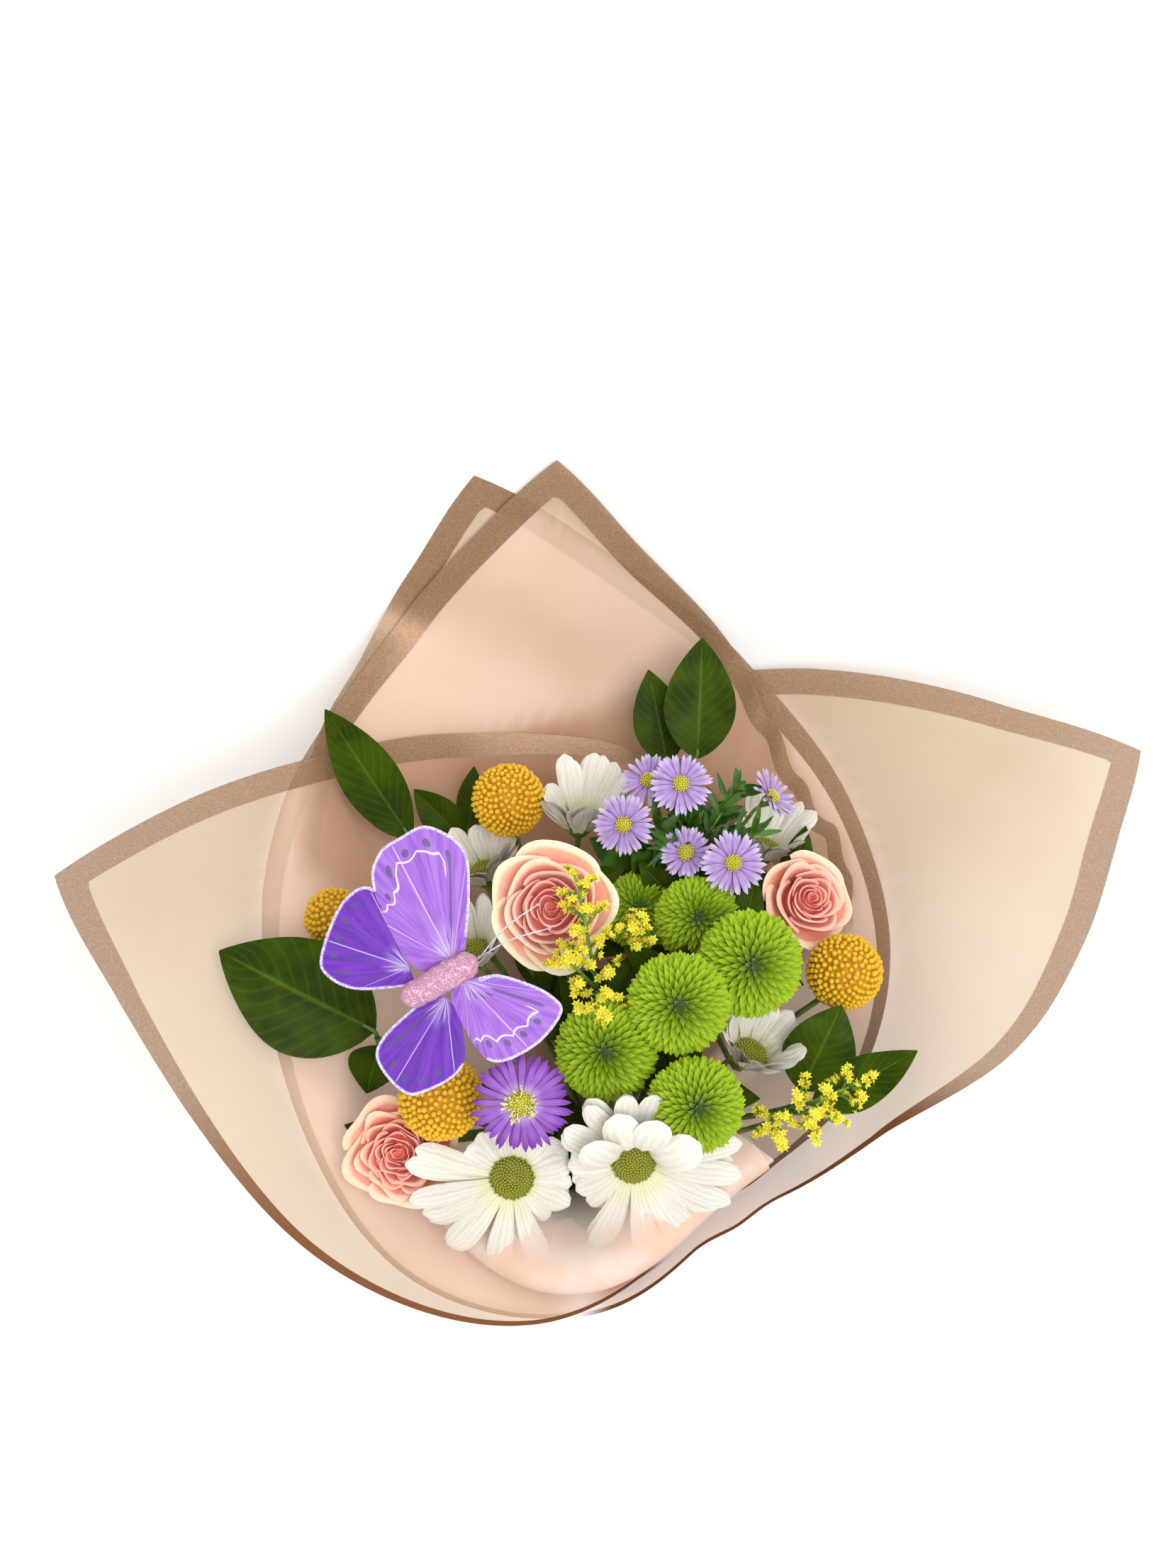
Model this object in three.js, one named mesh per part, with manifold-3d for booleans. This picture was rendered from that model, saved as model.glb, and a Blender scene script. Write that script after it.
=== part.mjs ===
// Mixed hand-tied flower bouquet in a bordered film wrap, lying on its back sheets.
// Every piece is drawn in the bouquet's own axes: x to the side, y to the back, z along the
// stems towards the blooms, with the middle of the tie as origin. The last lines lay it down.
import * as THREE from "three";
import { mergeVertices } from "three/addons/utils/BufferGeometryUtils.js";
import Module from "manifold-3d";

const wasm = await Module();
wasm.setup();

const DEGREE = Math.PI / 180;
const point = (x, y, z) => new THREE.Vector3(x, y, z);
const clamp01 = (t) => Math.min(1, Math.max(0, t));

// How the bouquet lies: its stems rise from the table at LEAN, with the tie at TIE_HEIGHT.
const LEAN = 30 * DEGREE;
const TIE_HEIGHT = 70;
const PLAN_SHIFT = { x: -1.21, y: 105.52 };

// Film wrap
const FILM = 0.7;
const FILM_PITCH = 2.7;
const OUTER_LAYER = 3;
const RESTING_LAYER = 2;
const WAIST_RADIUS = 15;
const TAIL_REACH = -42;
const TAIL_FLARE = 0.22;
const ROW_REACHES = [TAIL_REACH, 0, 40, 84, 120, 150, 180, 212, 244, 280, 316];
const COLUMN_STEP = 16;
const CROSSING_TURN = -56;

// Stems
const BUNDLE_RADIUS = 11.6;
const STEM_GAP = 0.35;
const WAIST_GAP = 2.4;
const HANDLE_LENGTH = 110;
const HANDLE_FLARE = 0.0035;
const CUT_SPREAD = 6;
const SEAT_GAP = 0.3;
const BLADE = 0.7;

// Direction from which every bloom is seen in full
const VIEWER = point(0, -0.47, 0.88).normalize();

const COLOURS = {
  film: 0xe6d0bb,
  frost: 0xf0dcd2,
  ribbon: 0xb98c6c,
  rose: 0xf3a08c,
  craspedia: 0xe3b21c,
  daisy: 0xf6f3ea,
  disc: 0x7f8420,
  pompon: 0x86b82a,
  aster: 0xb79be0,
  violet: 0x8a55d6,
  solidago: 0xe4d21a,
  stem: 0x55792f,
  leaf: 0x234d17,
  wing: 0x8d55dd,
  glitter: 0xd98aa8,
  wire: 0xd8d8d8,
};

// Geometry helpers

// Turns a closed indexed geometry so that its faces point out.
function facingOut(geometry) {
  const at = geometry.getAttribute("position");
  const index = geometry.getIndex().array;
  const [a, b, c] = [point(), point(), point()];
  let volume = 0;
  for (let i = 0; i < index.length; i += 3) {
    a.fromBufferAttribute(at, index[i]);
    b.fromBufferAttribute(at, index[i + 1]);
    c.fromBufferAttribute(at, index[i + 2]);
    volume += a.dot(b.cross(c));
  }
  if (volume < 0)
    for (let i = 0; i < index.length; i += 3)
      [index[i + 1], index[i + 2]] = [index[i + 2], index[i + 1]];
  return geometry;
}

// Closed solid through rings of equal count. The second half of each ring is the back of a
// blade or sheet, split by the same diagonals as its front.
function loft(rings) {
  const count = rings[0].length;
  const triangles = [];
  for (let i = 0; i + 1 < rings.length; i++)
    for (let j = 0; j < count; j++) {
      const a = i * count + j;
      const b = i * count + ((j + 1) % count);
      const c = a + count;
      const d = b + count;
      if (2 * j < count) triangles.push(a, b, d, a, d, c);
      else triangles.push(a, b, c, b, d, c);
    }
  const cap = (start, turned) => {
    for (let low = 0, high = count - 1; low + 1 < high; low++, high--) {
      const quad = [start + low, start + low + 1, start + high - 1, start + high];
      const faces = high - 1 > low + 1 ? [0, 1, 2, 0, 2, 3] : [0, 1, 3];
      const corners = faces.map((k) => quad[k]);
      triangles.push(...(turned ? corners.reverse() : corners));
    }
  };
  cap(0, true);
  cap((rings.length - 1) * count, false);
  const geometry = new THREE.BufferGeometry();
  geometry.setFromPoints(rings.flat());
  geometry.setIndex(triangles);
  return closed(geometry);
}

// Merges shared vertices and drops the faces that this collapses.
function closed(geometry) {
  geometry.deleteAttribute("normal");
  geometry.deleteAttribute("uv");
  const merged = mergeVertices(geometry, 1e-3);
  const index = merged.getIndex().array;
  const kept = [];
  for (let i = 0; i < index.length; i += 3) {
    const [a, b, c] = [index[i], index[i + 1], index[i + 2]];
    if (a !== b && b !== c && c !== a) kept.push(a, b, c);
  }
  merged.setIndex(kept);
  return facingOut(merged);
}

// Moves a geometry so that its origin is at `at`, its z axis along `facing` and its y axis as
// near to `up` as that allows.
function placed(geometry, at, facing, up = point(0, 1, 0)) {
  const z = facing.clone().normalize();
  const x = up.clone().cross(z).normalize();
  const y = z.clone().cross(x);
  const matrix = new THREE.Matrix4().makeBasis(x, y, z).setPosition(at);
  return geometry.clone().applyMatrix4(matrix);
}

function solidOf(geometry) {
  return new wasm.Manifold(
    new wasm.Mesh({
      numProp: 3,
      vertProperties: new Float32Array(geometry.getAttribute("position").array),
      triVerts: new Uint32Array(geometry.getIndex().array),
    }),
  );
}

// Joins closed geometries into one and keeps its largest body.
function fused(geometries, detail = 0.2) {
  const joined = wasm.Manifold.union(geometries.map(solidOf)).simplify(detail);
  const bodies = joined.decompose().sort((a, b) => b.volume() - a.volume());
  const { vertProperties, triVerts } = bodies[0].getMesh();
  const geometry = new THREE.BufferGeometry();
  geometry.setAttribute("position", new THREE.BufferAttribute(vertProperties, 3));
  geometry.setIndex(new THREE.BufferAttribute(triVerts, 1));
  return geometry;
}

// Round bar through points, each a little polygon square to the way it runs.
function rod(points, radius, sides = 5) {
  const radii = Array.isArray(radius) ? radius : points.map(() => radius);
  const rings = points.map((p, i) => {
    const before = points[Math.max(0, i - 1)];
    const after = points[Math.min(points.length - 1, i + 1)];
    const along = after.clone().sub(before).normalize();
    const across = point(1, 0.2, 0).cross(along).normalize();
    const other = along.clone().cross(across);
    return Array.from({ length: sides }, (_, k) => {
      const turn = (2 * Math.PI * k) / sides;
      return p
        .clone()
        .addScaledVector(across, radii[i] * Math.cos(turn))
        .addScaledVector(other, radii[i] * Math.sin(turn));
    });
  });
  return loft(rings);
}

// Turned solid whose profile of [radius, height] pairs starts and ends on the axis, or closes.
function turned(profile, sides) {
  const outline = profile.map(([r, h]) => new THREE.Vector2(r, h));
  return closed(new THREE.LatheGeometry(outline, sides).rotateX(Math.PI / 2));
}

// Leaf or petal that grows from the origin along y with its face to z. It bends up through
// `bend` radians over its length, and `fold` lifts its edges above the midrib.
const PETAL_OUTLINE = [[0, 0.3], [0.62, 1], [1, 0.5]];
const RAY_OUTLINE = [[0, 0.55], [1, 0.8]];
const SEPAL_OUTLINE = [[0, 1], [1, 0.08]];
const LEAF_OUTLINE = [[0, 0.08], [0.28, 0.92], [0.62, 0.88], [1, 0.03]];

function blade({ length, width, bend = 0, fold = 0, outline = PETAL_OUTLINE, thick = BLADE, twist = 0 }) {
  const rings = outline.map(([t, share]) => {
    const turn = bend * t;
    const y = Math.abs(bend) < 1e-3 ? length * t : (length * Math.sin(turn)) / bend;
    const z = Math.abs(bend) < 1e-3 ? 0 : (length * (1 - Math.cos(turn))) / bend;
    const half = Math.max(0.3, (width / 2) * share);
    const lean = twist * t;
    const corner = (side, under) => {
      const rise = fold * Math.abs(side) * half + side * half * Math.sin(lean);
      const depth = under ? -thick : 0;
      return point(
        side * half * Math.cos(lean),
        y - Math.sin(turn) * (depth + rise),
        z + Math.cos(turn) * (depth + rise),
      );
    };
    if (!fold) return [corner(-1, false), corner(1, false), corner(1, true), corner(-1, true)];
    return [
      corner(-1, false), corner(0, false), corner(1, false),
      corner(1, true), corner(0, true), corner(-1, true),
    ];
  });
  return loft(rings);
}

// The same blade from `root` to `tip`, with its face towards `face`.
function bladeBetween(root, tip, face, shape) {
  const way = tip.clone().sub(root);
  const spec = { ...shape, length: way.length() };
  return placed(blade(spec), root, square(face, way), way);
}

// The part of `face` that is square to `way`.
function square(face, way) {
  const along = way.clone().normalize();
  return face.clone().addScaledVector(along, -face.dot(along)).normalize();
}

// Film wrap

// Edge of each square sheet as [turn, reach] pairs: the turn in degrees round the stems from
// the back, and the reach in millimetres from the tie. Its corner points out at the top.
const SHEETS = {
  wrap_left_sheet: {
    layer: 0,
    before: [[-195, 154], [-184, 155], [-164, 173], [-149, 188], [-129, 209], [-106, 231], [-89, 253]],
    corner: [-76, 279],
    after: [[-64, 256], [-48, 224], [-32, 203], [-16, 191], [1, 183], [21, 172], [40, 169], [57, 169]],
  },
  wrap_back_inner_sheet: {
    layer: 1,
    before: [[-158, 173], [-138, 184], [-109, 196], [-83, 210], [-57, 231], [-43, 239], [-31, 252], [-18, 279]],
    corner: [-6, 312],
    after: [[3, 272], [15, 239], [30, 207], [42, 192], [52, 189], [66, 174]],
  },
  wrap_back_outer_sheet: {
    layer: 2,
    before: [[-69, 205], [-59, 222], [-47, 237], [-38, 247], [-26, 272]],
    corner: [-15, 308],
    after: [[-2, 269], [11, 241], [28, 217], [48, 202], [64, 191], [82, 177], [102, 159], [120, 139], [135, 138], [166, 133], [187, 150]],
  },
  wrap_right_sheet: {
    layer: 3,
    before: [[-36, 189], [-22, 192], [-3, 198], [14, 211], [33, 232], [53, 268]],
    corner: [63, 295],
    after: [[70, 273], [81, 250], [96, 221], [111, 179], [132, 158], [148, 157], [162, 148], [191, 156]],
  },
};

// Opening of the wrap in degrees from the stems' own direction
const OPENING = { side: 24, back: 9, front: 6, curl: 32, backCurl: 25, curlReach: 300 };
const TUCK = { turn: 150, spread: 32, depth: 9 };
const SAG = { depth: 34, from: 120, to: 230, sideways: 0.3, backwards: 0.9 };
const TABLE_BLEND = 6;

function smooth(x, low, high) {
  const t = clamp01((x - low) / (high - low));
  return t * t * (3 - 2 * t);
}

// Point of the innermost film at a turn and a reach. It opens like a trumpet from the tie, and
// what would hang below the table lies flat on it.
function wall(turn, reach) {
  const backwards = Math.cos(turn);
  const back = Math.max(0, backwards);
  let radius = WAIST_RADIUS - TAIL_FLARE * reach;
  let along = reach;
  if (reach > 0) {
    const off = ((((turn / DEGREE) % 360) + 360) % 360) - TUCK.turn;
    const tuck = TUCK.depth * Math.exp(-((off / TUCK.spread) ** 2));
    const lean = (backwards > 0 ? OPENING.back : OPENING.front) * backwards ** 2 - tuck;
    const curl = (OPENING.curl - OPENING.backCurl * back ** 2) * (reach / OPENING.curlReach) ** 3;
    const opening = (OPENING.side + lean * smooth(reach, 0, 60) + curl) * DEGREE;
    radius = WAIST_RADIUS + reach * Math.sin(opening);
    along = reach * Math.cos(opening);
  }
  const at = point(radius * Math.sin(turn), radius * backwards, along);
  const floor = RESTING_LAYER * FILM_PITCH + FILM;
  const height = TIE_HEIGHT + at.z * Math.sin(LEAN) - at.y * Math.cos(LEAN);
  const sag = SAG.depth * smooth(reach, SAG.from, SAG.to) * smooth(backwards, SAG.sideways, SAG.backwards);
  const above = height - sag - floor;
  let lies = above;
  if (above < -TABLE_BLEND) lies = 0;
  else if (above < TABLE_BLEND) lies = (above + TABLE_BLEND) ** 2 / (4 * TABLE_BLEND);
  const drop = floor + lies - height;
  return at.add(point(0, -drop * Math.cos(LEAN), drop * Math.sin(LEAN)));
}

// Outward direction square to the film
function outward(turn, reach) {
  const round = wall(turn + 0.004, reach).sub(wall(turn - 0.004, reach));
  const up = wall(turn, reach + 0.8).sub(wall(turn, reach - 0.8));
  const normal = round.cross(up).normalize();
  const away = point(Math.sin(turn), Math.cos(turn), -0.3);
  return normal.dot(away) < 0 ? normal.negate() : normal;
}

function filmPoint(turn, reach, depth) {
  return wall(turn, reach).addScaledVector(outward(turn, reach), depth);
}

// Smooth curve through [turn, reach] pairs, read at one turn
function reachAt(pairs, turn) {
  let i = 0;
  while (i < pairs.length - 2 && turn > pairs[i + 1][0]) i++;
  const slope = (k) => {
    const before = pairs[Math.max(0, k - 1)];
    const after = pairs[Math.min(pairs.length - 1, k + 1)];
    return (after[1] - before[1]) / (after[0] - before[0]);
  };
  const [start, end] = [pairs[i], pairs[i + 1]];
  const span = end[0] - start[0];
  const t = clamp01((turn - start[0]) / span);
  const rise = t * t * (3 - 2 * t);
  const into = t * (1 - t) ** 2 * span * slope(i);
  const out = t * t * (t - 1) * span * slope(i + 1);
  return start[1] + (end[1] - start[1]) * rise + into + out;
}

function sheet({ layer, before, corner, after }) {
  const left = [...before, corner];
  const right = [corner, ...after];
  const [start, end] = [left[0][0], right[right.length - 1][0]];
  const turns = [start, corner[0], end];
  if (start < CROSSING_TURN && end > CROSSING_TURN) turns.push(CROSSING_TURN);
  for (let turn = -192; turn <= 192; turn += COLUMN_STEP)
    if (turn > start && turn < end && turns.every((t) => Math.abs(t - turn) > 4)) turns.push(turn);
  turns.sort((a, b) => a - b);
  const rings = turns.map((turn) => {
    const rim = reachAt(turn <= corner[0] ? left : right, turn);
    const reaches = ROW_REACHES.map((reach) => Math.min(reach, rim));
    reaches[reaches.length - 1] = rim;
    const skin = (depth) => reaches.map((reach) => filmPoint(turn * DEGREE, reach, depth));
    return [...skin(layer * FILM_PITCH), ...skin(layer * FILM_PITCH + FILM).reverse()];
  });
  return loft(rings);
}

// Frosted liner: it runs up inside the front of the wrap and folds in over the lowest petals.
const LINER = { from: -146, to: -232, columns: 8, fold: 150, flap: 46, flapLean: -0.05, roll: 6 };

function liner() {
  const rings = [];
  for (let i = 0; i < LINER.columns; i++) {
    const turn = (LINER.from + ((LINER.to - LINER.from) * i) / (LINER.columns - 1)) * DEGREE;
    const inner = [];
    const outer = [];
    for (const reach of [TAIL_REACH, 0, 28, 60, 92, 124, LINER.fold]) {
      outer.push(filmPoint(turn, reach, FILM - FILM_PITCH));
      inner.push(filmPoint(turn, reach, -FILM_PITCH));
    }
    const edge = outer[outer.length - 1];
    const up = edge.clone().sub(outer[outer.length - 2]).normalize();
    const inward = point(-Math.sin(turn), -Math.cos(turn), LINER.flapLean).normalize();
    const side = 1 - 0.35 * Math.abs(i / (LINER.columns - 1) - 0.5) * 2;
    const crest = edge.clone().addScaledVector(up, LINER.roll).addScaledVector(inward, LINER.roll * 0.7);
    const rim = crest.clone().addScaledVector(inward, LINER.flap * side);
    for (const place of [crest, rim]) {
      outer.push(place.clone().addScaledVector(up, FILM / 2));
      inner.push(place.clone().addScaledVector(up, -FILM / 2));
    }
    rings.push([...inner, ...outer.reverse()]);
  }
  return loft(rings);
}

function ribbon() {
  const inside = WAIST_RADIUS + OUTER_LAYER * FILM_PITCH + FILM + 0.9;
  const flare = (h) => inside + (h > 0 ? 0.72 : 0.4) * Math.abs(h);
  const half = 7;
  const thick = 1.1;
  return turned(
    [
      [flare(-half), -half], [flare(-half) + thick, -half], [flare(0) + thick + 0.6, 0],
      [flare(half) + thick, half], [flare(half), half], [flare(0), 0], [flare(-half), -half],
    ],
    16,
  );
}

// Blooms, each drawn with its face to +z and the middle of its base disc at the origin

// Share of its full length that a ray keeps: `shorter` lists [turn, half width, share] in degrees
// for each side on which another bloom stands over the rays.
function shareAt(shorter, at) {
  const near = shorter.filter(([turn, half]) => Math.abs(((at / DEGREE - turn + 900) % 360) - 180) < half);
  return near.reduce((least, [, , share]) => Math.min(least, share), 1);
}

// Ray florets that grow out of the side of a hollow hub, with room for the disc's core inside it
const HUB_HEIGHT = 1.4;

function rays({ count, start, length, width, inner, tilt = 0, bend = -0.3, shorter = [] }) {
  const places = [];
  const quad = (a, b, c, d) => places.push(a, b, c, a, c, d);
  const outline = width > 4 ? PETAL_OUTLINE : RAY_OUTLINE;
  const at = (r, turn, z) => point(r * Math.cos(turn), r * Math.sin(turn), z);
  const half = (width * outline[0][1]) / 2 / start;
  for (let i = 0; i < count; i++) {
    const middle = (2 * Math.PI * i) / count;
    const next = (2 * Math.PI * (i + 1)) / count;
    for (const [from, to] of [[middle - half, middle + half], [middle + half, next - half]]) {
      const rim = [from, to].map((turn) => [at(start, turn, 0), at(start, turn, -HUB_HEIGHT)]);
      const hole = [middle, to > middle + half ? next : middle].map((turn) => [
        at(inner, turn, 0), at(inner, turn, -HUB_HEIGHT),
      ]);
      quad(hole[0][0], rim[0][0], rim[1][0], hole[1][0]);
      quad(hole[0][1], hole[1][1], rim[1][1], rim[0][1]);
      quad(hole[0][0], hole[1][0], hole[1][1], hole[0][1]);
      if (to > middle + half) quad(rim[0][0], rim[0][1], rim[1][1], rim[1][0]);
    }
    const out = point(Math.cos(middle), Math.sin(middle), 0);
    const aside = point(-Math.sin(middle), Math.cos(middle), 0);
    const lift = tilt + 0.1 * Math.sin(i * 2.4);
    const full = length * shareAt(shorter, middle);
    const sections = outline.map(([t, share], k) => {
      const sides = [-half, half].map((turn) => [at(start, middle + turn, 0), at(start, middle + turn, -HUB_HEIGHT)]);
      if (k === 0) return sides;
      const rise = lift + bend * t * 0.5;
      const centre = out.clone().multiplyScalar(start + full * t * Math.cos(rise)).setZ(full * t * Math.sin(rise));
      const slope = lift + bend * t;
      const under = out.clone().multiplyScalar(BLADE * Math.sin(slope)).setZ(-BLADE * Math.cos(slope));
      return [-1, 1].map((side) => {
        const top = centre.clone().addScaledVector(aside, (side * share * width) / 2);
        return [top, top.clone().add(under)];
      });
    });
    for (let k = 0; k + 1 < sections.length; k++) {
      const [[topLeft, lowLeft], [topRight, lowRight]] = sections[k];
      const [[farTopLeft, farLowLeft], [farTopRight, farLowRight]] = sections[k + 1];
      quad(topLeft, farTopLeft, farTopRight, topRight);
      quad(lowLeft, lowRight, farLowRight, farLowLeft);
      quad(topRight, farTopRight, farLowRight, lowRight);
      quad(topLeft, lowLeft, farLowLeft, farTopLeft);
    }
    const [[topLeft, lowLeft], [topRight, lowRight]] = sections[sections.length - 1];
    quad(topLeft, lowLeft, lowRight, topRight);
  }
  return closed(new THREE.BufferGeometry().setFromPoints(places));
}

// Domed disc, its core through the hub and the small green cup under it
function discParts(radius, core, cup, sides) {
  return [
    turned([[0, radius * 0.5], [radius * 0.65, radius * 0.38], [radius, SEAT_GAP], [0, SEAT_GAP]], sides),
    turned([[0, 0.6], [core, 0.6], [core, -HUB_HEIGHT - SEAT_GAP], [cup, -HUB_HEIGHT - SEAT_GAP], [0, -6.5]], 6),
  ];
}

// Cupped rose petal: part of a bowl round the bloom's axis that widens and curls out at its rim.
// One side is tucked inside the petal beside it.
const PETAL_TUCK = 1.1;
const PETAL_COLUMNS = 3;

function rosePetal({ turn, span, foot, mouth, high, curl }) {
  const rings = [];
  for (let i = 0; i <= PETAL_COLUMNS; i++) {
    const u = (2 * i) / PETAL_COLUMNS - 1;
    const crest = high * (1 - 0.2 * u ** 2);
    const profile = [
      { r: foot, h: 1.5, share: 0.5 },
      { r: foot + (mouth - foot) * 0.85, h: crest * 0.6, share: 0.95 },
      { r: mouth + curl, h: crest, share: 1 },
    ];
    const skin = (inset) =>
      profile.map(({ r, h, share }) => {
        const around = turn + (u * span * share) / 2;
        const out = r + PETAL_TUCK * u - inset;
        return point(out * Math.cos(around), out * Math.sin(around), h + inset * 0.4);
      });
    rings.push([...skin(0), ...skin(0.8).reverse()]);
  }
  return loft(rings);
}

// Rose: a rolled heart and whorls of cupped petals round it on one receptacle
function rose(radius, high, whorls) {
  const dish = radius * 0.28 + 2.4 * whorls.length;
  const parts = [turned([[0, -2], [4, -2], [dish, 0.6], [dish, 2.4], [0, high * 0.5]], 8)];
  const heart = [];
  const turns = 10;
  for (let i = 0; i <= turns; i++) {
    const around = (i / turns) * 2.9 * Math.PI;
    const r = 1.6 + (radius * 0.22 - 1.6) * (i / turns);
    const place = (s, h) => point(s * Math.cos(around), s * Math.sin(around), h);
    heart.push([place(r, high * 0.4), place(r, high), place(r + 0.8, high), place(r + 0.8, high * 0.4)]);
  }
  parts.push(loft(heart));
  whorls.forEach(({ count, mouth, rise, curl, span, skew }, ring) => {
    for (let i = 0; i < count; i++)
      parts.push(
        rosePetal({
          turn: ((i + skew) / count) * 2 * Math.PI,
          span,
          foot: radius * 0.28 + 1 + ring * 2.4,
          mouth: mouth * radius,
          high: rise * high,
          curl,
        }),
      );
  });
  return fused(parts, 0.3);
}

const HEART_WHORL = { count: 3, mouth: 0.38, rise: 1, curl: 0.6, span: 2.2, skew: 0.2 };
const FULL_WHORLS = [
  HEART_WHORL,
  { count: 4, mouth: 0.62, rise: 0.92, curl: 1.6, span: 1.85, skew: 0.55 },
  { count: 5, mouth: 0.84, rise: 0.78, curl: 3.4, span: 1.5, skew: 0.1 },
];
const YOUNG_WHORLS = [
  HEART_WHORL,
  { count: 4, mouth: 0.78, rise: 0.85, curl: 2.6, span: 1.85, skew: 0.55 },
];

// Ball whose knobs stand up from it: every third point of a fine octahedron net is a knob.
function knobbedBall(radius, splits, knob) {
  const net = new THREE.OctahedronGeometry(1, 0).getAttribute("position");
  const corners = [point(), point(), point()];
  const places = [];
  const vertex = (a, b) => {
    const c = splits - a - b;
    const at = point(0, 0, 0);
    [a, b, c].forEach((share, k) => at.addScaledVector(corners[k], share / splits));
    const raised = (((a - b) % 3) + 3) % 3 === 0;
    return at.normalize().multiplyScalar(raised ? radius : radius - knob);
  };
  for (let face = 0; face < net.count; face += 3) {
    corners.forEach((corner, k) => corner.fromBufferAttribute(net, face + k));
    for (let a = 0; a < splits; a++)
      for (let b = 0; a + b < splits; b++) {
        places.push(vertex(a, b), vertex(a + 1, b), vertex(a, b + 1));
        if (a + b + 1 < splits) places.push(vertex(a + 1, b), vertex(a + 1, b + 1), vertex(a, b + 1));
      }
  }
  const geometry = new THREE.BufferGeometry().setFromPoints(places);
  return closed(geometry);
}

// Button bloom: rings of short scoops that overlap like scales, low in the middle
function pompon(radius, rings, perRing) {
  const rows = [];
  const ringOf = (count, share, even, odd, phase) => {
    const row = [];
    for (let k = 0; k < count * 2; k++) {
      const turn = (Math.PI * (k + phase)) / count;
      const r = radius * (k % 2 ? odd : even);
      const polar = share * 0.6 * Math.PI;
      row.push(point(r * Math.sin(polar) * Math.cos(turn), r * Math.sin(polar) * Math.sin(turn),
        r * Math.cos(polar) * 0.72));
    }
    return row;
  };
  for (let i = 0; i < rings; i++) {
    const phase = i % 2;
    rows.push(ringOf(perRing, (i + 0.55) / rings, 0.8, 0.8, phase));
    rows.push(ringOf(perRing, (i + 1.1) / rings, 1, 0.84, phase));
  }
  const foot = ringOf(perRing, 1.25, 0.35, 0.35, 0);
  const crown = ringOf(perRing, 0.02, 0.7, 0.7, 0);
  return loft([crown, ...rows, foot]);
}

// Stems

// Every stem runs from its bloom to its slot in the tie, and on to its cut end. A shoot's
// `slot` and `waist`, where it bends to keep inside the film, move once all of them are known.
const BEND_HEIGHT = 84;
const BEND_RADIUS = 42;
const shoots = [];

function shoot(top, down, radius, neck = 16) {
  const base = top.clone().addScaledVector(down, neck);
  const share = (BEND_HEIGHT + 26) / (base.z + 26);
  const stem = { top, base, radius, waist: point(base.x * share, base.y * share, BEND_HEIGHT) };
  shoots.push(stem);
  return stem;
}

// Pushes stems apart where the tie draws them together, and again where they bend.
function settle(level, gap, most) {
  for (let round = 0; round < 400; round++) {
    for (let i = 0; i < shoots.length; i++)
      for (let j = i + 1; j < shoots.length; j++) {
        const [a, b] = [shoots[i], shoots[j]];
        const apart = b[level].clone().sub(a[level]);
        const short = a.radius + b.radius + gap - apart.length();
        if (short > 0) {
          apart.setLength(short / 2);
          a[level].sub(apart);
          b[level].add(apart);
        }
      }
    for (const stem of shoots) {
      const height = stem[level].z;
      stem[level].setZ(0).clampLength(0, most - stem.radius).setZ(height);
    }
  }
}

function stemPoints({ top, base, waist, slot, radius }) {
  const end = slot.clone().multiplyScalar(1 + HANDLE_FLARE * HANDLE_LENGTH);
  const table = (end.y * Math.cos(LEAN) + radius * 1.2 - TIE_HEIGHT) / Math.sin(LEAN);
  end.z = Math.max(table, -HANDLE_LENGTH + CUT_SPREAD * Math.sin(slot.x * 3 + slot.y));
  return [top, base, waist, slot, end];
}

const stemRod = (stem, sides = 5) => rod(stemPoints(stem), stem.radius, sides);

// Point on a stem at a height above the tie
function onStem({ base, waist }, height) {
  return waist.clone().lerp(base, (height - waist.z) / (base.z - waist.z));
}

// Twig from a stem at `height` to the back of a bloom
function twig(stem, height, top, down, radius) {
  const root = onStem(stem, height);
  return rod([root, top.clone().addScaledVector(down, 9), top], radius, 4);
}

// What is in the bouquet: [side, back, height] of each bloom's base disc in millimetres

const facing = (x, y, z) => point(x, y, z).normalize();
const back = (direction) => direction.clone().negate();

const ROSES = {
  centre: { at: point(-22, 29, 193), face: facing(-0.05, -0.38, 0.92), radius: 23.5, high: 20,
    whorls: FULL_WHORLS },
  right: { at: point(71, 48, 170), face: facing(0.3, -0.25, 0.92), radius: 17, high: 18,
    whorls: YOUNG_WHORLS },
  left: { at: point(-79, -47, 158), face: facing(-0.1, -0.4, 0.9), radius: 19, high: 15,
    whorls: FULL_WHORLS },
};

const KNOB = 0.09;
const BALLS = {
  back_left: { at: point(-42, 86, 186), radius: 14.5, splits: 5 },
  right: { at: point(88, 17, 176), radius: 14.5, splits: 5 },
  left: { at: point(-64, -38, 190), radius: 15.5, splits: 5 },
  far_left: { at: point(-109, 38, 180), radius: 11, splits: 3 },
};

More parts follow.
